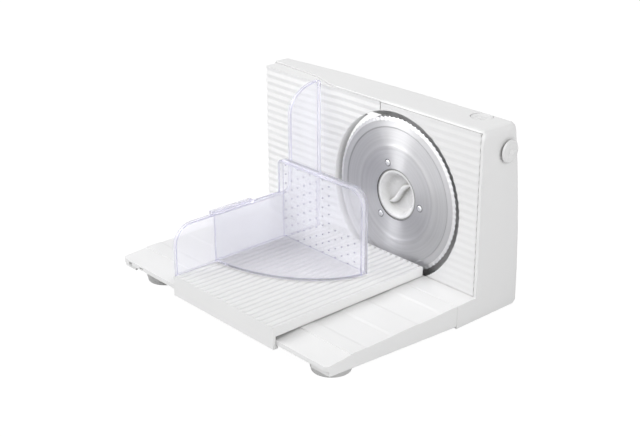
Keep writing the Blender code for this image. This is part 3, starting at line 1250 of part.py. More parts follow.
def base_plate(look):
    """Wedge-shaped deck with a front lip, side skirts and ribs below."""
    plate = prism("base", base_outline(), "X", BASE_LEFT_X, HOUSING_WIDTH)
    bays = spread(BASE_LEFT_X + BASE_WALL, HOUSING_WIDTH - BASE_WALL + BASE_RIB, BASE_BAYS + 1)
    front = BASE_FRONT - LIP_WALL
    middle = OUTER_CHANNEL_REAR
    rear = TOE_REACH + FIT + BASE_WALL
    cutters = []
    for low, high in zip(bays, bays[1:]):
        cutters.append(base_pocket(low, high - BASE_RIB, front - CORNER_SETBACK / 2, middle + BASE_RIB))
        cutters.append(base_pocket(low, high - BASE_RIB, middle, rear))
    lip_z = DECK_Z - LIP_DROP
    cutters.append(block("under_lip", (BASE_LEFT_X + CORNER_LEFT_LENGTH, -BASE_FRONT - OVERRUN, -OVERRUN),
                         (HOUSING_WIDTH - CORNER_LENGTH, -front + CORNER_SETBACK, lip_z)))
    cutters.append(block("set_back", (-OVERRUN, -BASE_FRONT - OVERRUN, -OVERRUN),
                         (HOUSING_WIDTH + OVERRUN, -BASE_FRONT + CORNER_SETBACK, lip_z)))
    top = DECK_Z - DECK_FALL - LIP_NOTCH_DROP
    for i, height in enumerate(LIP_NOTCH_HEIGHTS):
        low = BASE_LEFT_X + LIP_NOTCH_INSET + i * LIP_NOTCH_PITCH
        cutters.append(block("notch", (low, -BASE_FRONT - OVERRUN, top - height),
                             (low + LIP_NOTCH_WIDTH, -front + CORNER_SETBACK, top)))
    cut(plate, *cutters, *base_corners())
    holes = [rod("hole", "Y", (x, z), SCREW_RADIUS + FIT, -TOE_REACH - SCREW_LENGTH, -TOE_REACH + OVERRUN / 2)
             for x, z in toe_screw_places()]
    bosses = [rod("boss", "Y", (x, z), PANEL_BOSS, -TOE_REACH - SCREW_LENGTH - FIT, -rear + BASE_WALL / 2)
              for x, z in toe_screw_places()]
    fuse(plate, *bosses)
    cut(plate, *holes)
    return node(plate, "base_plate", look)


def foot_profile(top, bottom, height, stem, stem_top):
    """Half profile of a foot with a shallow cup below and a stem above."""
    return [(0, FOOT_CUP), (bottom * FOOT_CUP_SHARE / 2, FOOT_CUP), (bottom * FOOT_CUP_SHARE, 0),
            (bottom, 0), (top, height - FOOT_EDGE), (top - FOOT_EDGE, height),
            (stem, height), (stem, stem_top), (0, stem_top)]


def front_feet(look):
    """Two cupped feet under the base plate."""
    height = DECK_Z - skirt_drop(FRONT_FOOT_Y - FRONT_FOOT_TOP) - FIT
    stem_top = DECK_CEILING_Z - FIT
    profile = foot_profile(FRONT_FOOT_TOP, FRONT_FOOT_BOTTOM, height, FRONT_FOOT_STEM, stem_top)
    places = (FRONT_FOOT_LEFT_X, HOUSING_WIDTH - FRONT_FOOT_INSET)
    feet = [turned("foot", profile, "Z", (x, -FRONT_FOOT_Y)) for x in places]
    return copies(feet, ("front_foot_left", "front_foot_right"), look)


def rear_feet(look):
    """Two short feet under the housing, plugged into its floor."""
    profile = foot_profile(REAR_FOOT_TOP, REAR_FOOT_BOTTOM, SHELL_FLOOR_Z - FIT, REAR_FOOT_STEM,
                           SHELL_FLOOR_Z + REAR_FOOT_STEM_RISE)
    feet = [turned("foot", profile, "Z", place) for place in rear_foot_places()]
    return copies(feet, ("rear_foot_left", "rear_foot_right"), look)


def tray_grooves(low, high):
    """Cutters of the valleys between the tray's ribs: flat-bottomed and flared towards the top."""
    pitch = (high - low) / TRAY_RIBS
    mouth = pitch * (1 - TRAY_CREST_SHARE) / 2
    floor = mouth * TRAY_FLOOR_SHARE
    flare = mouth + (mouth - floor) / TRAY_RIB_DEPTH * TRAY_BORDER
    grooves = []
    for i in range(TRAY_RIBS):
        x = low + pitch * (i + 1 / 2)
        outline = [(x - floor, TRAY_TOP_Z - TRAY_RIB_DEPTH), (x + floor, TRAY_TOP_Z - TRAY_RIB_DEPTH),
                   (x + flare, TRAY_TOP_Z + TRAY_BORDER), (x - flare, TRAY_TOP_Z + TRAY_BORDER)]
        grooves.append(prism("groove", outline, "Y", -TRAY_FRONT + TRAY_BORDER, -TRAY_REAR - TRAY_BORDER))
    return gather("grooves", grooves)


def carriage_tray(look):
    """Ribbed food tray with a front skirt that hooks round the base plate's lip."""
    first = WALL_IN_X + EASY_FIT
    low = DECK_Z - TRAY_SKIRT_DROP
    ledge = TRAY_TOP_Z - WALL_LEDGE
    outline = [(TRAY_LEFT_X, low), (TRAY_LEFT_X, ledge), (first, ledge), (first, TRAY_TOP_Z),
               (TRAY_RIGHT_X, TRAY_TOP_Z), (TRAY_RIGHT_X, low)]
    tray = prism("tray", outline, "Y", -TRAY_FRONT, -TRAY_REAR)
    grooves = tray_grooves(first + TRAY_BORDER, TRAY_RIGHT_X - TRAY_BORDER)
    skirt_in = -TRAY_FRONT + TRAY_SKIRT_WALL
    side_z = DECK_Z + TRAY_SIDE_RISE
    past = TRAY_RIGHT_X + OVERRUN
    hook_in = skirt_in + TRAY_LIP * 2
    under_lip = block("under_lip", (0, skirt_in, low + TRAY_LIP_THICK), (past, hook_in, side_z))
    behind = block("behind", (0, skirt_in + TRAY_LIP, -OVERRUN), (past, OVERRUN, side_z))
    ceiling = TRAY_TOP_Z - TRAY_RIB_DEPTH - TRAY_SKIN
    pocket = block("pocket", (first + TRAY_BORDER, skirt_in + TRAY_LIP, -OVERRUN),
                   (TRAY_RIGHT_X - BASE_WALL, -TRAY_REAR - BASE_WALL, ceiling))
    cut(tray, grooves, under_lip, behind, pocket)
    keels = []
    clear = KEEL_FIT + CHANNEL_RUN
    top = TRAY_TOP_Z - TRAY_RIB_DEPTH - TRAY_SKIN / 2
    for y in (-OUTER_CHANNEL_REAR - clear - KEEL_WIDTH, -INNER_CHANNEL_FRONT + clear):
        keels.append(block("keel", (first + KEEL_INSET, y, DECK_Z - CHANNEL_DEPTH + KEEL_GAP),
                           (TRAY_RIGHT_X - KEEL_INSET, y + KEEL_WIDTH, top)))
    fuse(tray, *keels)
    return node(tray, "carriage_tray", look)


def wall_outline(inset, foot):
    """Side view of the transparent wall as (y, z), drawn in by an inset except at its foot."""
    top = DECK_Z + WALL_RISE - inset
    front = -WALL_FRONT + inset
    soft = WALL_FRONT_ROUND - inset
    outline = [(front, foot)] + arc((front + soft, top - soft), soft, soft, 180, 90)
    corner = TOWER_FILLET + inset
    tower = -TOWER_FRONT + inset
    outline += arc((tower - corner, top + corner), corner, corner, 270, 360)
    rear = -TOWER_REAR - inset
    tip = TOP_Z + TOWER_PROUD - inset
    wide = rear - tower - TOWER_REAR_ROUND
    tall = TOWER_ROUND_HEIGHT - inset
    outline += arc((rear - TOWER_REAR_ROUND, tip - tall), wide, tall, 180, 90, CORNER_STEPS + SMALL_STEPS)
    return outline + [(rear, tip - TOWER_REAR_ROUND), (rear, foot)]


def carriage_wall(look):
    """Clear wall of the carriage with the tall finger guard at its back end, stiffened by a rim."""
    foot = TRAY_TOP_Z - WALL_LEDGE + FIT
    wall = prism("wall", wall_outline(0, foot), "X", TRAY_LEFT_X, WALL_IN_X)
    inside = prism("inside", wall_outline(WALL_RIM, foot + WALL_RIM), "X", TRAY_LEFT_X - OVERRUN,
                   WALL_IN_X - WALL_THICK)
    cut(wall, inside)
    return node(wall, "carriage_wall", look)


def pusher_outline(inset, bottom):
    """Front view of the holder's pusher as (x, z), drawn in by an inset except at the bottom."""
    left = GUARD_LEFT_X + inset
    right = HOLDER_RIGHT_X - inset
    top = DECK_Z + HOLDER_TOP - inset
    small = HOLDER_LEFT_ROUND - inset
    large = HOLDER_RIGHT_ROUND - inset
    outline = [(right, bottom), *arc((right - large, top - large), large, large, 0, 90)]
    return outline + arc((left + small, top - small), small, small, 90, 180, SMALL_STEPS) + [(left, bottom)]


def holder_floor_outline():
    """Plan of the holder's floor: a soft quarter round between the guard wall and the pusher."""
    reach = GUARD_FRONT - HOLDER_FACE
    span = HOLDER_RIGHT_X - GUARD_LEFT_X
    back = -HOLDER_FACE - HOLDER_PLATE / 2
    points = [(GUARD_LEFT_X, back)]
    for i in range(HOLDER_FLOOR_STEPS + 1):
        angle = math.pi / 2 * i / HOLDER_FLOOR_STEPS
        across = math.sin(angle) ** (2 / HOLDER_FLOOR_CURVE)
        forward = math.cos(angle) ** (2 / HOLDER_FLOOR_CURVE) if i < HOLDER_FLOOR_STEPS else 0
        points.append((GUARD_LEFT_X + span * across, -HOLDER_FACE - reach * forward))
    points[-1] = (HOLDER_RIGHT_X, back)
    return points


def pusher_pins():
    """Staggered points on the face that presses the food."""
    pins = []
    top = DECK_Z + HOLDER_TOP - PIN_TOP_DROP
    for column in range(PIN_COLUMNS):
        x = GUARD_LEFT_X + PIN_FIRST_X + column * PIN_COLUMN_PITCH
        stagger = PIN_ROW_PITCH / 2 * (column % 2)
        first = 0 if column < PIN_FULL_COLUMNS else PIN_ROWS - PIN_SHORT_ROWS
        for row in range(first, PIN_ROWS):
            z = top - stagger - row * PIN_ROW_PITCH
            if z < DECK_Z + HOLDER_BOTTOM + PIN_HALF * 2:
                continue
            base = [(x - PIN_HALF, z - PIN_HALF), (x + PIN_HALF, z - PIN_HALF),
                    (x + PIN_HALF, z + PIN_HALF), (x - PIN_HALF, z + PIN_HALF)]
            tip = [(x + (a - x) * PIN_TIP_SHARE, z + (b - z) * PIN_TIP_SHARE) for a, b in base]
            low = [lift(point, "Y", -HOLDER_FACE - PIN_HALF) for point in base]
            pins.append(loft("pin", [low, [lift(point, "Y", -HOLDER_FACE + PIN_HEIGHT) for point in tip]]))
    return gather("pins", pins)


def remainder_holder(look):
    """Clear holder: pusher with pins, guard wall with a hook over the carriage wall, and a rounded floor."""
    bottom = DECK_Z + HOLDER_BOTTOM
    face = -HOLDER_FACE
    holder = prism("pusher", pusher_outline(0, bottom), "Y", face - HOLDER_RIM_DEPTH, face)
    pocket = prism("pocket", pusher_outline(HOLDER_RIM, bottom - OVERRUN), "Y",
                   face - HOLDER_RIM_DEPTH - OVERRUN, face - HOLDER_PLATE)
    cut(holder, pocket)
    hook_low = DECK_Z + WALL_RISE + HOOK_GAP
    hook_high = hook_low + HOOK_THICK
    leg_x = TRAY_LEFT_X - HOOK_GAP
    guard = block("guard", (GUARD_LEFT_X, -GUARD_FRONT, bottom),
                  (GUARD_LEFT_X + GUARD_THICK, face - HOLDER_PLATE / 2, hook_high))
    bridge = block("bridge", (leg_x - HOOK_LEG, -GUARD_FRONT + FIT, hook_low),
                   (GUARD_LEFT_X + GUARD_THICK / 2, -HOOK_LEG_REAR, hook_high - FIT))
    leg = block("leg", (leg_x - HOOK_LEG, -GUARD_FRONT + FIT, hook_low - HOOK_LEG_DROP),
                (leg_x, -HOOK_LEG_REAR, hook_low + HOOK_THICK / 2))
    floor = prism("floor", holder_floor_outline(), "Z", bottom, bottom + HOLDER_FLOOR)
    fuse(holder, guard, bridge, leg, floor, pusher_pins())
    return node(holder, "remainder_holder", look)


def stand_on_origin():
    """Moves every node so that the part stands on the origin, centred in plan."""
    bpy.context.view_layer.update()
    corners = []
    for shape in NODES:
        corners += [shape.matrix_world @ vert.co for vert in shape.data.vertices]
    low = [min(corner[axis] for corner in corners) for axis in range(3)]
    high = [max(corner[axis] for corner in corners) for axis in range(3)]
    shift = Vector(((low[0] + high[0]) / 2, (low[1] + high[1]) / 2, low[2]))
    for shape in NODES:
        shape.location -= shift
    bpy.context.view_layer.update()
    print("origin of the working frame moved by", [round(-value, 6) for value in shift])


def build():
    for old in list(bpy.data.objects):
        bpy.data.objects.remove(old)
    white = material("white_plastic", (0.86, 0.86, 0.85), 0.35)
    button_white = material("button_plastic", (0.84, 0.84, 0.83), 0.3)
    clear = material("clear_plastic", (0.82, 0.82, 0.93), 0.08, alpha=0.35)
    steel = material("blade_steel", (0.66, 0.66, 0.68), 0.25, metallic=1.0)
    dull_steel = material("dull_steel", (0.5, 0.5, 0.52), 0.45, metallic=1.0)
    bronze = material("bush_bronze", (0.62, 0.42, 0.22), 0.4, metallic=1.0)
    nylon = material("gear_nylon", (0.78, 0.76, 0.7), 0.5)
    dark = material("dark_plastic", (0.05, 0.05, 0.055), 0.5)
    foot_grey = material("foot_rubber", (0.62, 0.62, 0.63), 0.6)
    housing_shell(white)
    front_panel(white)
    base_plate(white)
    front_feet(foot_grey)
    rear_feet(foot_grey)
    panel_screws(dull_steel)
    toe_screws(dull_steel)
    cord_inlet(white)
    guide_rods(dull_steel)
    shaft_bush(bronze)
    motor(dull_steel)
    motor_mount(dull_steel)
    switch_block(dark)
    stop_plate(white)
    thickness_knob(button_white)
    blade(steel)
    blade_rivets(steel)
    blade_carrier(nylon)
    blade_shaft(dull_steel)
    drive_wheel(nylon)
    blade_lock(button_white)
    worm_shaft(dull_steel)
    carriage_tray(white)
    carriage_wall(clear)
    remainder_holder(clear)
    top_button(button_white)
    side_button(button_white)
    stand_on_origin()


build()
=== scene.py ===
import math

import bpy
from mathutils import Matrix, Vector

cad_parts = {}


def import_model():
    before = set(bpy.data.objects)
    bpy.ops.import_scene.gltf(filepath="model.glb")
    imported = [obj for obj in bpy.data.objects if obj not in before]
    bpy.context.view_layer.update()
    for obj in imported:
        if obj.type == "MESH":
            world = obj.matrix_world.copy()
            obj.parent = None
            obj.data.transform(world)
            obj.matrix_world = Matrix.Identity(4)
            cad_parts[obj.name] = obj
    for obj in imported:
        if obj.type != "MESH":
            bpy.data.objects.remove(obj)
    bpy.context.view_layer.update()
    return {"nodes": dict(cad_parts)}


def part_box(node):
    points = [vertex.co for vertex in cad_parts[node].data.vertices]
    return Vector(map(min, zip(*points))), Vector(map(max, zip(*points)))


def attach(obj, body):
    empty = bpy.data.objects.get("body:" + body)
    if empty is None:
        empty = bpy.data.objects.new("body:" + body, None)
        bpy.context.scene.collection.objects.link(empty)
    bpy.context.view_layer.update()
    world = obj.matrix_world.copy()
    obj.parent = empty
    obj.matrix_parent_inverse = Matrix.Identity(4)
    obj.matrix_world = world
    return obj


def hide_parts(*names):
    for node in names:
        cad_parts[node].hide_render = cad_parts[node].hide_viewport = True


# The photograph's camera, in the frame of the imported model
CAMERA_AT = (1.0114, -0.905326, 0.6699)
CAMERA_TURN = (67.2, 0.1, 48.0)
SENSOR = 36.0
FOCAL_LENGTH = 70.678
CLIP_NEAR = 0.05
CLIP_FAR = 60.0

# The studio: lamps as (name, place, width, power), all of them aimed at the slicer
LAMPS = (
    ("left", (-1.6, -1.3, 1.7), 1.6, 42.0),
    ("right", (2.2, -0.3, 1.1), 1.6, 28.0),
    ("front", (0.5, -2.2, 1.3), 1.6, 9.0),
    ("high", (-0.4, -1.7, 1.9), 1.6, 7.0),
    ("top", (0.1, 0.2, 2.2), 2.0, 5.0),
)
LAMP_HEIGHT = 1.6
LAMP_AIM = (0.0, 0.0, 0.1)
WHITE = (1.0, 1.0, 1.0, 1.0)
SKY_LIGHT = 0.23
SKY_SEEN = 1.0
FLOOR_SIDE = 12.0
FLOOR_SHADES = (0.61, 0.65)
FLOOR_CLOUD_SCALE = 2.0
FLOOR_GLOW = 1.11
FLOOR_GLOW_SHARE = 0.88

# The blade's axis and front face, and its section as (radius, depth behind the face)
BLADE_AXIS = (0.0495, 0.0, 0.1224)
BLADE_FACE_Y = 0.079574
BLADE_RADIUS = 0.095
BLADE_BORE = 0.0313
BLADE_RISE = 0.0006
BLADE_THICK = 0.0018
BEVEL_ROOT = 0.0901
LAND_ROOT = 0.0827
STEP_FOOT = 0.0812
BLADE_SECTION = (
    (BLADE_BORE, 0.0),
    (0.0537, 0.0),
    (0.0547, -0.0001),
    (0.0565, -BLADE_RISE),
    (0.0594, -BLADE_RISE),
    (0.0612, -0.0001),
    (0.0622, 0.0),
    (STEP_FOOT, 0.0),
    (LAND_ROOT, -BLADE_RISE),
    (BEVEL_ROOT, -BLADE_RISE),
    (BLADE_RADIUS, 0.0008),
    (0.0893, BLADE_THICK),
    (BLADE_BORE, BLADE_THICK),
)
BLADE_CREASE = 12
BLADE_TEETH = 84
TOOTH_STEPS = 8
TOOTH_DEPTH = 0.0014
TOOTH_ROOT_SHARE = 1 / 3

# The rivets, and their section as (radius, depth behind the head's foot)
RIVET_CIRCLE = 0.0392
RIVET_TURNS = (-8.5, 111.5, 231.5)
RIVET_HEAD = 0.0034
RIVET_SHANK = 0.0021
RIVET_PROUD = 0.0003
RIVET_SECTION = (
    (0.0, -0.00105),
    (0.0010, -0.00103),
    (0.0020, -0.00092),
    (0.0027, -0.00072),
    (0.0032, -0.0004),
    (RIVET_HEAD, -0.0001),
    (RIVET_HEAD, 0.0002),
    (RIVET_SHANK, 0.0002),
    (RIVET_SHANK, 0.0048),
    (0.0, 0.0048),
)
RIVET_SIDES = 40
RIVET_CREASE = 40

# The lock in the blade's middle, and its section as (radius, depth behind the rim)
LOCK_RIM_Y = 0.080374
LOCK_RADIUS = 0.030
LOCK_STEM = 0.0056
LOCK_SECTION = (
    (0.0, 0.0094),
    (0.0100, 0.0094),
    (0.0185, 0.0093),
    (0.0200, 0.0089),
    (0.0210, 0.0080),
    (0.0218, 0.0066),
    (0.0240, 0.0036),
    (0.0262, 0.0010),
    (0.0268, 0.0004),
    (0.0274, 0.0001),
    (0.0280, 0.0),
    (0.0290, 0.0),
    (0.0296, 0.0002),
    (0.0299, 0.0006),
    (LOCK_RADIUS, 0.0011),
    (0.0284, 0.0012),
    (0.0226, 0.0074),
    (0.0212, 0.0108),
    (LOCK_STEM, 0.0108),
    (LOCK_STEM, 0.0118),
    (0.0, 0.0118),
)
LOCK_SIDES = 128
LOCK_CREASE = 50
GRIP_LENGTH = 0.046
GRIP_WIDTH = 0.0076
GRIP_SWEEP = 0.0025
GRIP_TURN = 40.5
GRIP_FOOT = 0.0096
GRIP_SINK = 0.0036
GRIP_END_SINK = 0.0022
GRIP_END_SHARE = 0.998
GRIP_TAPER_SHARE = 0.25
GRIP_FULLNESS = 0.55
GRIP_STEPS = 40
GRIP_ROUND = 14

# The points on the remainder holder, each a cone of (share of the radius, height)
PIN_RADIUS = 0.0011
PIN_SECTION = ((1.0, -0.0004), (0.9, 0.0002), (0.4, 0.0017))
HOLDER_FACE_INSET = 0.0015
PIN_FIRST = (-0.0672, 0.1452)
PIN_PITCH = (0.011, 0.0115)
PIN_COLUMNS = 12
PIN_ROWS = 9
PIN_FULL_COLUMNS = 8
PIN_SHORT_ROWS = 4
PIN_LOWEST_Z = 0.0524
PIN_SIDES = 12
PIN_CREASE = 50

# Low and high corner of the lip below the panel's pan
PAN_LIP = ((0.0002, 0.0949, 0.0270), (0.0993, 0.0965, 0.0366))
PAN_CREASE = 30

# Where most of a noise lies
NOISE_LOW = 0.3
NOISE_HIGH = 0.7

# Surfaces whose normal is this near a direction face that way
FACING = 0.9
FACING_FRONT = 0.6

# Moulded plastic
PLASTIC_IOR = 1.49
PLASTIC_SPECULAR = 0.45
CLOUD_SCALE = 9.0
CLOUD_LIGHTER = 0.008
CLOUD_DARKER = 0.012
CLOUD_DARKER_BLUE = 0.010
PEEL_SCALE = 160.0
PEEL_DEPTH = 0.0004
PEEL_STRENGTH = 0.06
GRAIN_SCALE = 2600.0
GRAIN_DEPTH = 0.0001
GRAIN_STRENGTH = 0.04
SHEEN_SCALE = 60.0
SHEEN_LESS = 0.04
SHEEN_MORE = 0.05
# The painted shade put in crevices, a warm grey
CREVICE_PAINTED_SHADE = (0.36, 0.355, 0.33, 1.0)
CREVICE_OPEN = 0.95
CREVICE_SAMPLES = 8
EDGE_SAMPLES = 6
# The painted highlight put on rounded edges
EDGE_HIGHLIGHT_LIGHTER = 0.13
EDGE_HIGHLIGHT_START = 0.7

# The tray's ribs, which run along Y: their spacing, the X of one crest, their bend and the
# painted shade in their grooves
RIB_PITCH = 0.00896
RIB_CREST_X = -0.0701
RIB_WAVE = 0.0006
RIB_PAINTED_SHADE = (0.45, 0.45, 0.45, 1.0)
RIB_SHADE_SHARE = 0.3
RIB_SHADE_SPAN = (-0.5, 0.3)

# Clear plastic
CLEAR_IOR = 1.22
CLEAR_LOW = (0.93, 0.93, 0.955)
CLEAR_HIGH = (0.95, 0.95, 0.97)
# Painted light: the lighter colour of lying faces
CLEAR_LYING_PAINTED_LIGHT = (0.97, 0.97, 0.99, 1.0)
# Painted shade: the dark violet of the rims
CLEAR_RIM_PAINTED_SHADE = (0.36, 0.34, 0.58, 1.0)
CLEAR_RIM_WIDTH = 0.0012
CLEAR_RIM_SAMPLES = 8
CLEAR_RIM_SPAN = (0.8, 0.99)
CLEAR_CLOUD_SCALE = 12.0
CLEAR_HAZE_SCALE = 70.0
CLEAR_HAZE = (0.07, 0.10)
CLEAR_LYING_SMOOTHER = 0.06
CLEAR_PASSED = 0.78
CLEAR_LYING_PASSED = 0.12
CLEAR_RIM_STOPPED = 0.38
CLEAR_RIPPLE_SCALE = 45.0
CLEAR_RIPPLE_STRENGTH = 0.004
CLEAR_RIPPLE_DEPTH = 0.001
CLEAR_GRAIN_SCALE = 900.0
CLEAR_GRAIN_STRENGTH = 0.01
CLEAR_GRAIN_DEPTH = 0.0001
CLEAR_LAMP_SHARE = 0.5
CLEAR_LAMP_TINT = (0.95, 0.95, 0.98, 1.0)
CLEAR_BODY = (0.70, 0.68, 0.98, 1.0)
CLEAR_BODY_DENSITY = 11.0

# The clear plastic of the points, greyed as painted shade
POINT_IOR = 1.3
POINT_PASSED = 0.5
POINT_PAINTED_SHADE_LOW = (0.44, 0.43, 0.54)
POINT_PAINTED_SHADE_HIGH = (0.52, 0.51, 0.62)
POINT_CLOUD_SCALE = 400.0
POINT_HAZE_SCALE = 900.0
POINT_HAZE = (0.12, 0.2)

# The blade's turned steel, whose tones are added to its shade
STEEL_SHADE = 0.64
STEEL_ROUGHNESS = 0.47
STEEL_ROUGHNESS_SPREAD = 0.04
STEEL_ANISOTROPY = 0.9
STEEL_FAN_TURN = 0.25
STEEL_TINT = (0.985, 0.985, 1.0, 1.0)
RING_PITCH = 0.0004
RING_DETAIL = 3.0
RING_TONE = 0.02
RING_STRENGTH = 0.05
RING_DEPTH = 0.0001
BAND_PITCH = 0.004
BAND_DETAIL = 2.0
BAND_TONE = 0.025
# Painted highlights: the land and the ground bevel are lightened
LAND_PAINTED_HIGHLIGHT = 0.05
BEVEL_PAINTED_HIGHLIGHT = 0.22
TONE_CHANGE = 0.0003
# Painted shade: a dark line at the step, and painted shadows round the lock and the rivets
STEP_PAINTED_SHADE = 0.14
LINE_HALF = 0.0008
LOCK_PAINTED_SHADOW = 0.45
RIVET_LINE = 0.0012
RIVET_PAINTED_SHADOW = 0.35

# Plain metal
METAL_STAIN_SCALE = 140.0
METAL_STAIN_DETAIL = 4.0
METAL_STAIN_SHARE = 0.88
METAL_SHEEN_SCALE = 600.0
METAL_SHEEN_LESS = 0.05
METAL_SHEEN_MORE = 0.07
METAL_GRAIN_SCALE = 1500.0
METAL_GRAIN_STRENGTH = 0.12
METAL_GRAIN_DEPTH = 0.0001


class Graph:
    """A short hand for the nodes of a material or a world."""

    def __init__(self, owner, output="ShaderNodeOutputMaterial"):
        self.owner = owner
        owner.use_nodes = True
        self.tree = owner.node_tree
        self.tree.nodes.clear()
        self.output = self.tree.nodes.new(output)

    def node(self, kind, inputs=None, **settings):
        made = self.tree.nodes.new(kind)
        for name, value in settings.items():
            setattr(made, name, value)
        for name, value in (inputs or {}).items():
            self.feed(made, name, value)
        return made

    def feed(self, node, name, value):
        socket = node.inputs[name]
        if isinstance(value, bpy.types.NodeSocket):
            self.tree.links.new(value, socket)
        else:
            socket.default_value = value

    def math(self, operation, *values, clamp=False):
        made = self.node("ShaderNodeMath", operation=operation, use_clamp=clamp)
        for place, value in enumerate(values):
            self.feed(made, place, value)
        return made.outputs[0]

    def vector(self, operation, *values, output="Vector"):
        made = self.node("ShaderNodeVectorMath", dict(enumerate(values)), operation=operation)
        return made.outputs[output]

    def dot(self, first, second):
        return self.vector("DOT_PRODUCT", first, second, output="Value")

    def parts(self, vector):
        return self.node("ShaderNodeSeparateXYZ", {"Vector": vector}).outputs

    def place(self):
        return self.node("ShaderNodeTexCoord").outputs["Object"]

    def flat_normal(self):
        return self.node("ShaderNodeNewGeometry").outputs["Normal"]

    def round_normal(self, radius, samples):
        return self.node("ShaderNodeBevel", {"Radius": radius}, samples=samples).outputs["Normal"]

    def noise(self, scale, detail=2.0):
        inputs = {"Vector": self.place(), "Scale": scale, "Detail": detail}
        return self.node("ShaderNodeTexNoise", inputs).outputs["Fac"]

    def span(self, value, low, high, start=0.0, end=1.0):
        inputs = {
            "Value": value,
            "From Min": start,
            "From Max": end,
            "To Min": low,
            "To Max": high,
        }
        return self.node("ShaderNodeMapRange", inputs).outputs[0]

    def spread(self, noise, low, high):
        """Takes a noise's usual span to another one."""
        return self.span(noise, low, high, NOISE_LOW, NOISE_HIGH)

    def tones(self, noise, low, high):
        """Colours a noise from one colour to another."""
        made = self.node("ShaderNodeValToRGB", {"Fac": noise})
        stops = ((NOISE_LOW, low), (NOISE_HIGH, high))
        for element, (place, colour) in zip(made.color_ramp.elements, stops):
            element.position = place
            element.color = (*colour, 1.0)
        return made.outputs["Color"]

    def blend(self, share, first, second, how="MIX"):
        """A colour between two."""
        inputs = {0: share, 6: first, 7: second}
        made = self.node("ShaderNodeMix", inputs, data_type="RGBA", blend_type=how)
        return made.outputs[2]

    def between(self, share, first, second):
        """A direction between two."""
        inputs = {0: share, 4: first, 5: second}
        made = self.node("ShaderNodeMix", inputs, data_type="VECTOR")
        return self.vector("NORMALIZE", made.outputs[1])

    def bump(self, height, strength, distance, normal=None):
        inputs = {"Height": height, "Strength": strength, "Distance": distance}
        if normal is not None:
            inputs["Normal"] = normal
        return self.node("ShaderNodeBump", inputs).outputs["Normal"]

    def principled(self, **inputs):
        named = {key.replace("_", " "): value for key, value in inputs.items()}
        return self.node("ShaderNodeBsdfPrincipled", named).outputs["BSDF"]

    def mixed(self, share, first, second):
        """A shader between two."""
        made = self.node("ShaderNodeMixShader", {0: share})
        self.tree.links.new(first, made.inputs[1])
        self.tree.links.new(second, made.inputs[2])
        return made.outputs[0]

    def seen(self):
        """1 where the camera sees a thing, directly, mirrored or through something."""
        path = self.node("ShaderNodeLightPath").outputs
        direct = self.math("MAXIMUM", path["Is Camera Ray"], path["Is Glossy Ray"])
        return self.math("MAXIMUM", direct, path["Is Transmission Ray"])

    def show(self, shader, place="Surface"):
        self.tree.links.new(shader, self.output.inputs[place])
        return self.owner


def new_graph(name):
    return Graph(bpy.data.materials.new(name))


def tray_ribs(graph, flat, normal, colour):
    """Bends the normal over the tray's top ribs and paints shade into the grooves between them.
    """
    turn = graph.math("MULTIPLY", graph.parts(graph.place())["X"], math.tau / RIB_PITCH)
    turn = graph.math("SUBTRACT", turn, math.tau * RIB_CREST_X / RIB_PITCH)
    top = graph.math("GREATER_THAN", graph.dot(flat, (0.0, 0.0, 1.0)), FACING)
    height = graph.math("MULTIPLY", graph.math("COSINE", turn), top)
    # Painted shade: the grooves are darkened on the top faces
    groove = graph.span(height, RIB_SHADE_SHARE, 0.0, *RIB_SHADE_SPAN)
    groove = graph.math("MULTIPLY", groove, top)
    return graph.bump(height, 1.0, RIB_WAVE, normal), graph.blend(groove, colour, RIB_PAINTED_SHADE)


def levelled(graph, flat, normal, share):
    """Softens the ribs of a front face by turning their normals part of the way to the front."""
    front = (0.0, -1.0, 0.0)
    facing = graph.math("GREATER_THAN", graph.dot(flat, front), FACING_FRONT)
    return graph.between(graph.math("MULTIPLY", facing, share), normal, front)


def moulded(
    name,
    shade,
    roughness,
    warmth=0.0,
    edge=0.0006,
    edge_highlight=0.6,
    painted_crevice_shade=0.3,
    reach=0.02,
    shut_at=0.0,
    ribs=False,
    level=0.0,
):
    """Injection moulded plastic.

    Its colour has a faint cloud, painted shade in hollows and painted highlights on edges,
    and its surface a fine grain and a slow orange peel. Crevices are found within a reach,
    and edges look rounded.
    """
    graph = new_graph(name)
    light = shade + CLOUD_LIGHTER
    dark = shade - CLOUD_DARKER
    high = (light, light - warmth / 2, light - warmth)
    low = (dark, dark - warmth / 2, shade - CLOUD_DARKER_BLUE - warmth)
    colour = graph.tones(graph.noise(CLOUD_SCALE, detail=3.0), low, high)
    sheen = graph.noise(SHEEN_SCALE)
    rough = graph.spread(sheen, roughness - SHEEN_LESS, roughness + SHEEN_MORE)
    # Painted shade: crevices are darkened towards a warm grey where occlusion is high
    around = graph.node(
        "ShaderNodeAmbientOcclusion", {"Distance": reach}, samples=CREVICE_SAMPLES
    )
    shut = graph.span(around.outputs["AO"], painted_crevice_shade, 0.0, shut_at, CREVICE_OPEN)
    colour = graph.blend(shut, colour, CREVICE_PAINTED_SHADE)
    normal = graph.round_normal(edge, EDGE_SAMPLES)
    flat = graph.flat_normal()
    # Painted highlight: edges are lightened where the rounded normal turns from the flat one
    edges = graph.span(graph.dot(normal, flat), edge_highlight, 0.0, EDGE_HIGHLIGHT_START, 1.0)
    pale = min(shade + EDGE_HIGHLIGHT_LIGHTER, 1.0)
    colour = graph.blend(edges, colour, (pale, pale, pale, 1.0))
    if ribs:
        normal, colour = tray_ribs(graph, flat, normal, colour)
    if level:
        normal = levelled(graph, flat, normal, level)
    grain = graph.noise(GRAIN_SCALE)
    normal = graph.bump(grain, GRAIN_STRENGTH, GRAIN_DEPTH, normal)
    peel = graph.noise(PEEL_SCALE, detail=1.0)
    normal = graph.bump(peel, PEEL_STRENGTH, PEEL_DEPTH, normal)
    return graph.show(graph.principled(
        Base_Color=colour,
        Roughness=rough,
        Normal=normal,
        IOR=PLASTIC_IOR,
        Specular_IOR_Level=PLASTIC_SPECULAR,
    ))


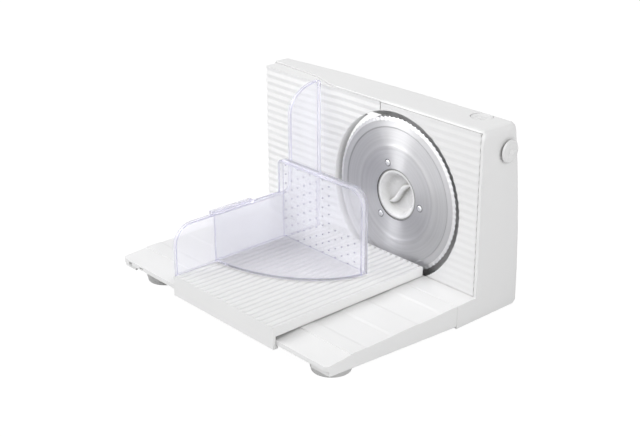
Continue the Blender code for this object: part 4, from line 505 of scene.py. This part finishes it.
def clear_plastic():
    """Clear plastic, milky where it stands up, clearer and painted lighter where it lies, with
    violet rims of painted shade.

    A share of the lamps' light goes straight through it.
    """
    graph = new_graph("clear_plastic")
    flat = graph.flat_normal()
    rounded = graph.round_normal(CLEAR_RIM_WIDTH, CLEAR_RIM_SAMPLES)
    rim = graph.span(graph.dot(rounded, flat), 1.0, 0.0, *CLEAR_RIM_SPAN)
    upright = graph.math("ABSOLUTE", graph.parts(flat)["Z"])
    lying = graph.math("GREATER_THAN", upright, FACING)
    haze = graph.spread(graph.noise(CLEAR_HAZE_SCALE), *CLEAR_HAZE)
    smoother = graph.math("MULTIPLY", lying, CLEAR_LYING_SMOOTHER)
    colour = graph.tones(graph.noise(CLEAR_CLOUD_SCALE), CLEAR_LOW, CLEAR_HIGH)
    # Painted light: lying faces are coloured lighter
    colour = graph.blend(lying, colour, CLEAR_LYING_PAINTED_LIGHT)
    # Painted shade: rims are darkened to violet
    colour = graph.blend(rim, colour, CLEAR_RIM_PAINTED_SHADE)
    passed = graph.math("ADD", graph.math("MULTIPLY", lying, CLEAR_LYING_PASSED), CLEAR_PASSED)
    stopped = graph.math("MULTIPLY", rim, CLEAR_RIM_STOPPED)
    ripple = graph.noise(CLEAR_RIPPLE_SCALE, detail=1.0)
    normal = graph.bump(ripple, CLEAR_RIPPLE_STRENGTH, CLEAR_RIPPLE_DEPTH)
    grain = graph.noise(CLEAR_GRAIN_SCALE, detail=1.0)
    normal = graph.bump(grain, CLEAR_GRAIN_STRENGTH, CLEAR_GRAIN_DEPTH, normal)
    plastic = graph.principled(
        Base_Color=colour,
        Roughness=graph.math("SUBTRACT", haze, smoother),
        Normal=normal,
        IOR=CLEAR_IOR,
        Transmission_Weight=graph.math("SUBTRACT", passed, stopped, clamp=True),
    )
    straight = graph.node("ShaderNodeBsdfTransparent", {"Color": CLEAR_LAMP_TINT}).outputs[0]
    path = graph.node("ShaderNodeLightPath").outputs
    share = graph.math("MULTIPLY", path["Is Shadow Ray"], CLEAR_LAMP_SHARE)
    body = graph.node(
        "ShaderNodeVolumeAbsorption", {"Color": CLEAR_BODY, "Density": CLEAR_BODY_DENSITY}
    )
    graph.show(body.outputs["Volume"], "Volume")
    return graph.show(graph.mixed(share, plastic, straight))


def point_plastic():
    """The clear plastic where it is thick, in the points: a greyer violet of painted shade."""
    graph = new_graph("point_plastic")
    return graph.show(graph.principled(
        Base_Color=graph.tones(graph.noise(POINT_CLOUD_SCALE), POINT_PAINTED_SHADE_LOW, POINT_PAINTED_SHADE_HIGH),
        Roughness=graph.spread(graph.noise(POINT_HAZE_SCALE), *POINT_HAZE),
        IOR=POINT_IOR,
        Transmission_Weight=POINT_PASSED,
    ))


def blade_radius(graph, place):
    """Distance from the blade's axis, of a place on it."""
    off = graph.vector("SUBTRACT", place, BLADE_AXIS)
    across = graph.vector("MULTIPLY", off, (1.0, 0.0, 1.0))
    return graph.vector("LENGTH", across, output="Value")


def lines(graph, radius, pitch, detail):
    """Noise in rings, as a lathe's tool leaves them."""
    inputs = {"W": graph.math("DIVIDE", radius, pitch), "Scale": 1.0, "Detail": detail}
    return graph.node("ShaderNodeTexNoise", inputs, noise_dimensions="1D").outputs["Fac"]


def darker(graph, tone, where, amount):
    """Takes an amount off a tone in some places, and never below black."""
    return graph.math("SUBTRACT", tone, graph.math("MULTIPLY", where, amount), clamp=True)


def turned_steel(name):
    """Steel turned on a lathe: fine rings round the axis, which throw the light into fans."""
    graph = new_graph(name)
    place = graph.place()
    radius = blade_radius(graph, place)
    rings = lines(graph, radius, RING_PITCH, RING_DETAIL)
    bands = lines(graph, radius, BAND_PITCH, BAND_DETAIL)
    tone = graph.spread(bands, STEEL_SHADE - BAND_TONE, STEEL_SHADE + BAND_TONE)
    tone = graph.math("ADD", tone, graph.spread(rings, -RING_TONE, RING_TONE))
    # Painted highlights: the land and the bevel are lightened outward of their roots
    for root, change in ((LAND_ROOT, LAND_PAINTED_HIGHLIGHT), (BEVEL_ROOT, BEVEL_PAINTED_HIGHLIGHT)):
        beyond = graph.span(radius, 0.0, change, root, root + TONE_CHANGE)
        tone = graph.math("ADD", tone, beyond)
    # Painted shade: a dark line at the step
    step = graph.math("COMPARE", radius, (STEP_FOOT + LAND_ROOT) / 2, LINE_HALF)
    tone = darker(graph, tone, step, STEP_PAINTED_SHADE)
    # Painted shadow: a dark ring round the lock
    rim = graph.math("COMPARE", radius, LOCK_RADIUS + LINE_HALF, LINE_HALF)
    tone = darker(graph, tone, rim, LOCK_PAINTED_SHADOW)
    # Painted shadow: a dark ring round each rivet
    for turn in RIVET_TURNS:
        spot = round_about(RIVET_CIRCLE, math.radians(turn), BLADE_FACE_Y)
        away = graph.vector("DISTANCE", place, spot, output="Value")
        near = graph.math("LESS_THAN", away, RIVET_HEAD + RIVET_LINE)
        tone = darker(graph, tone, near, RIVET_PAINTED_SHADOW)
    grey = graph.node("ShaderNodeCombineColor", {"Red": tone, "Green": tone, "Blue": tone})
    tangent = graph.node("ShaderNodeTangent", direction_type="RADIAL", axis="Y")
    low = STEEL_ROUGHNESS - STEEL_ROUGHNESS_SPREAD
    high = STEEL_ROUGHNESS + STEEL_ROUGHNESS_SPREAD
    return graph.show(graph.principled(
        Base_Color=graph.blend(1.0, grey.outputs["Color"], STEEL_TINT, how="MULTIPLY"),
        Metallic=1.0,
        Roughness=graph.spread(rings, low, high),
        Anisotropic=STEEL_ANISOTROPY,
        Anisotropic_Rotation=STEEL_FAN_TURN,
        Tangent=tangent.outputs["Tangent"],
        Normal=graph.bump(rings, RING_STRENGTH, RING_DEPTH),
    ))


def plain_metal(name, colour, roughness):
    """Bare metal with a faint stain and a fine grain."""
    graph = new_graph(name)
    stain = graph.noise(METAL_STAIN_SCALE, detail=METAL_STAIN_DETAIL)
    low = tuple(part * METAL_STAIN_SHARE for part in colour)
    sheen = graph.noise(METAL_SHEEN_SCALE)
    grain = graph.noise(METAL_GRAIN_SCALE)
    return graph.show(graph.principled(
        Base_Color=graph.tones(stain, low, colour),
        Metallic=1.0,
        Roughness=graph.spread(sheen, roughness - METAL_SHEEN_LESS, roughness + METAL_SHEEN_MORE),
        Normal=graph.bump(grain, METAL_GRAIN_STRENGTH, METAL_GRAIN_DEPTH),
    ))


def slot_materials():
    """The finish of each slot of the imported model."""
    return {
        "housing_plastic": moulded("housing_plastic", shade=0.83, roughness=0.34),
        "button_plastic": moulded("button_plastic", shade=0.80, roughness=0.28),
        "clear_plastic": clear_plastic(),
        "blade_steel": turned_steel("blade_steel"),
        "dull_steel": plain_metal("dull_steel", colour=(0.50, 0.50, 0.52), roughness=0.35),
        "bush_bronze": plain_metal("bush_bronze", colour=(0.62, 0.42, 0.22), roughness=0.45),
        "gear_nylon": moulded("gear_nylon", shade=0.76, roughness=0.45, warmth=0.06),
        "dark_plastic": moulded("dark_plastic", shade=0.05, roughness=0.5),
        "foot_grey": moulded("foot_grey", shade=0.72, roughness=0.6),
    }


def piece_materials():
    """The finish of the CAD pieces that differ from the rest of their slot."""
    return {
        "front_panel": moulded(
            "panel_plastic", shade=0.84, roughness=0.4, edge=0.0018, edge_highlight=0.0, painted_crevice_shade=0.9,
            reach=0.003, level=0.6,
        ),
        "stop_plate": moulded("ribbed_plastic", shade=0.86, roughness=0.36, painted_crevice_shade=0.0),
        # Painted shade: the carrier is greyed so that a dark ring shows round the lock
        "blade_carrier": moulded("carrier_painted_shade", shade=0.5, roughness=0.5),
        "carriage_tray": moulded(
            "tray_plastic", shade=0.82, roughness=0.34, edge=0.0004, painted_crevice_shade=0.5, reach=0.005,
            shut_at=0.45, ribs=True,
        ),
    }


def lock_material():
    """The lock's plastic, with a deep painted shade in its cup."""
    return moulded(
        "lock_plastic", shade=0.80, roughness=0.28, painted_crevice_shade=0.9, reach=0.02, shut_at=0.4
    )


def dress(nodes, materials):
    """Gives each CAD node the finish of its slot in model.glb, or its own."""
    for name, node in nodes.items():
        for slot in node.material_slots:
            key = slot.material.name.split(".")[0]
            if key not in materials:
                raise SystemExit(f"{name} has an unknown slot {key}")
            slot.material = materials[key]
    for name, material in piece_materials().items():
        nodes[name].material_slots[0].material = material


def piece(name, points, faces, material, body, crease, stands_for=()):
    """A mesh piece that rides on a body, is sharp past a crease and may stand for CAD nodes."""
    mesh = bpy.data.meshes.new(name)
    mesh.from_pydata(points, [], faces)
    mesh.materials.append(material)
    made = bpy.data.objects.new(name, mesh)
    bpy.context.scene.collection.objects.link(made)
    for face in mesh.polygons:
        face.use_smooth = True
    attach(made, body)
    if stands_for:
        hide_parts(*stands_for)
    mesh.set_sharp_from_angle(angle=math.radians(crease))


def round_about(radius, angle, y, middle=BLADE_AXIS):
    """A place at a radius and an angle about an axis that runs along Y."""
    return (
        middle[0] + radius * math.cos(angle),
        y,
        middle[2] + radius * math.sin(angle),
    )


def ring(radius, sides, y, middle=BLADE_AXIS):
    """Points evenly round an axis."""
    return [round_about(radius, math.tau * i / sides, y, middle) for i in range(sides)]


def skin(sides, rings, closed=False):
    """Faces between rings of points, and between the last and the first where closed."""
    faces = []
    for number in range(rings if closed else rings - 1):
        here = number * sides
        there = (number + 1) % rings * sides
        for i in range(sides):
            j = (i + 1) % sides
            faces.append((here + i, there + i, there + j, here + j))
    return faces


def spun(section, sides, front, middle=BLADE_AXIS):
    """Points and faces of a section of (radius, depth) that starts and ends on its axis."""
    points = []
    for radius, depth in section[1:-1]:
        points += ring(radius, sides, front + depth, middle)
    rings = len(section) - 2
    faces = skin(sides, rings)
    near = len(points)
    far = near + 1
    for depth in (section[0][1], section[-1][1]):
        points.append((middle[0], front + depth, middle[2]))
    last = (rings - 1) * sides
    for i in range(sides):
        j = (i + 1) % sides
        faces.append((i, j, near))
        faces.append((last + j, last + i, far))
    return points, faces


def make_blade(material):
    """The blade with its scalloped edge, ground bevel, land, step and pressed ring."""
    sides = BLADE_TEETH * TOOTH_STEPS
    cuts = {BLADE_RADIUS: TOOTH_DEPTH, BEVEL_ROOT: TOOTH_DEPTH * TOOTH_ROOT_SHARE}
    points = []
    for radius, depth in BLADE_SECTION:
        for i in range(sides):
            scallop = math.sin(math.pi * (i % TOOTH_STEPS) / TOOTH_STEPS)
            cut = cuts.get(radius, 0.0) * scallop
            points.append(round_about(radius - cut, math.tau * i / sides, BLADE_FACE_Y + depth))
    faces = skin(sides, len(BLADE_SECTION), closed=True)
    piece(
        "fine_blade", points, faces, material, "blade", BLADE_CREASE, ["blade"]
    )


def make_rivets(material):
    """Domed rivet heads with a soft edge."""
    for number, turn in enumerate(RIVET_TURNS, 1):
        middle = round_about(RIVET_CIRCLE, math.radians(turn), 0.0)
        points, faces = spun(RIVET_SECTION, RIVET_SIDES, BLADE_FACE_Y - RIVET_PROUD, middle)
        piece(
            f"fine_rivet_{number}", points, faces, material, "blade",
            RIVET_CREASE, [f"blade_rivet_{number}"],
        )


def grip_points():
    """Sections of the S-shaped grip, each a soft ridge across it."""
    turn = math.radians(GRIP_TURN)
    floor = LOCK_RIM_Y + GRIP_FOOT
    points = []
    for step in range(GRIP_STEPS + 1):
        t = (-1 + 2 * step / GRIP_STEPS) * GRIP_END_SHARE
        along = GRIP_LENGTH / 2 * t
        width = GRIP_WIDTH / 2 * math.sqrt(1 - t ** 4) * (1 - GRIP_TAPER_SHARE * t * t)
        sweep = GRIP_SWEEP * math.sin(math.pi * t)
        crown = LOCK_RIM_Y + GRIP_SINK + GRIP_END_SINK * t ** 4
        for i in range(GRIP_ROUND):
            angle = math.pi * i / (GRIP_ROUND - 1)
            across = sweep + width * math.cos(angle)
            rise = max(math.sin(angle), 0.0) ** GRIP_FULLNESS
            points.append((
                BLADE_AXIS[0] + along * math.cos(turn) - across * math.sin(turn),
                floor - (floor - crown) * rise,
                BLADE_AXIS[2] + along * math.sin(turn) + across * math.cos(turn),
            ))
    return points


def grip_faces(start):
    """Faces of the grip, whose points begin at a start."""
    row = GRIP_ROUND
    faces = []
    for step in range(GRIP_STEPS):
        a = start + step * row
        for i in range(row - 1):
            b = a + i
            faces.append((b, b + row, b + row + 1, b + 1))
        faces.append((a + row - 1, a + row * 2 - 1, a + row, a))
    end = start + GRIP_STEPS * row
    faces.append(tuple(start + i for i in range(row)))
    faces.append(tuple(end + i for i in reversed(range(row))))
    return faces


def make_lock(material):
    """The cup in the blade's middle with its rolled rim, dished floor and S-shaped grip."""
    points, faces = spun(LOCK_SECTION, LOCK_SIDES, LOCK_RIM_Y)
    faces += grip_faces(len(points))
    points += grip_points()
    piece(
        "fine_lock", points, faces, material, "blade_lock", LOCK_CREASE,
        ["blade_lock"],
    )


def pin_places():
    """Places (x, z) of the staggered points, in full columns and then in short ones."""
    places = []
    for column in range(PIN_COLUMNS):
        x = PIN_FIRST[0] + column * PIN_PITCH[0]
        first = 0 if column < PIN_FULL_COLUMNS else PIN_ROWS - PIN_SHORT_ROWS
        for row in range(first, PIN_ROWS):
            z = PIN_FIRST[1] - (row + column % 2 / 2) * PIN_PITCH[1]
            if z >= PIN_LOWEST_Z:
                places.append((x, z))
    return places


def make_pins(material):
    """Small cones over the points on the face that presses the food."""
    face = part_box("remainder_holder")[1][1] - HOLDER_FACE_INSET
    rings = len(PIN_SECTION)
    points = []
    faces = []
    for x, z in pin_places():
        start = len(points)
        for share, rise in PIN_SECTION:
            points += ring(PIN_RADIUS * share, PIN_SIDES, face + rise, (x, 0.0, z))
        faces += [tuple(start + i for i in quad) for quad in skin(PIN_SIDES, rings)]
        tip = start + (rings - 1) * PIN_SIDES
        faces.append(tuple(start + i for i in range(PIN_SIDES)))
        faces.append(tuple(tip + i for i in reversed(range(PIN_SIDES))))
    piece(
        "holder_points", points, faces, material, "remainder_holder", PIN_CREASE
    )


def make_lip(material):
    """The lip that closes the pan below the blade."""
    xs, ys, zs = zip(*PAN_LIP)
    points = [(x, y, z) for x in xs for y in ys for z in zs]
    faces = [(0, 1, 3, 2), (4, 6, 7, 5), (0, 4, 5, 1), (2, 3, 7, 6), (0, 2, 6, 4), (1, 5, 7, 3)]
    piece("pan_lip", points, faces, material, "root", PAN_CREASE)


def make_camera():
    data = bpy.data.cameras.new("camera")
    data.sensor_width = SENSOR
    data.lens = FOCAL_LENGTH
    data.clip_start = CLIP_NEAR
    data.clip_end = CLIP_FAR
    camera = bpy.data.objects.new("camera", data)
    camera.location = CAMERA_AT
    camera.rotation_euler = [math.radians(angle) for angle in CAMERA_TURN]
    bpy.context.scene.collection.objects.link(camera)
    bpy.context.scene.camera = camera


def floor_material():
    """A pale floor that looks white and still holds a faint shadow."""
    graph = new_graph("floor")
    low, high = ((shade, shade, shade) for shade in FLOOR_SHADES)
    cloud = graph.tones(graph.noise(FLOOR_CLOUD_SCALE), low, high)
    diffuse = graph.node("ShaderNodeBsdfDiffuse", {"Color": cloud}).outputs[0]
    glow = graph.node("ShaderNodeEmission", {"Color": WHITE, "Strength": FLOOR_GLOW}).outputs[0]
    share = graph.math("MULTIPLY", graph.seen(), FLOOR_GLOW_SHARE)
    return graph.show(graph.mixed(share, diffuse, glow))


def make_floor():
    half = FLOOR_SIDE / 2
    mesh = bpy.data.meshes.new("floor")
    corners = [(-half, -half, 0), (half, -half, 0), (half, half, 0), (-half, half, 0)]
    mesh.from_pydata(corners, [], [(0, 1, 2, 3)])
    mesh.materials.append(floor_material())
    floor = bpy.data.objects.new("floor", mesh)
    bpy.context.scene.collection.objects.link(floor)


def make_world():
    """A white surround, which lights the slicer less than it shows."""
    graph = Graph(bpy.data.worlds.new("studio"), "ShaderNodeOutputWorld")
    dim, bright = (
        graph.node("ShaderNodeBackground", {"Color": WHITE, "Strength": strength}).outputs[0]
        for strength in (SKY_LIGHT, SKY_SEEN)
    )
    bpy.context.scene.world = graph.show(graph.mixed(graph.seen(), dim, bright))


def make_lamps():
    for name, place, width, power in LAMPS:
        data = bpy.data.lights.new(name, "AREA")
        data.shape = "RECTANGLE"
        data.size = width
        data.size_y = LAMP_HEIGHT
        data.energy = power
        made = bpy.data.objects.new(name, data)
        made.location = place
        direction = Vector(LAMP_AIM) - Vector(place)
        made.rotation_euler = direction.to_track_quat("-Z", "Y").to_euler()
        bpy.context.scene.collection.objects.link(made)


def main():
    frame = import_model()
    bpy.context.scene.view_settings.view_transform = "Standard"
    make_camera()
    make_world()
    make_floor()
    make_lamps()
    materials = slot_materials()
    dress(frame["nodes"], materials)
    make_blade(materials["blade_steel"])
    make_rivets(plain_metal("rivet_steel", colour=(0.86, 0.86, 0.87), roughness=0.3))
    make_lock(lock_material())
    make_pins(point_plastic())
    make_lip(materials["housing_plastic"])


main()
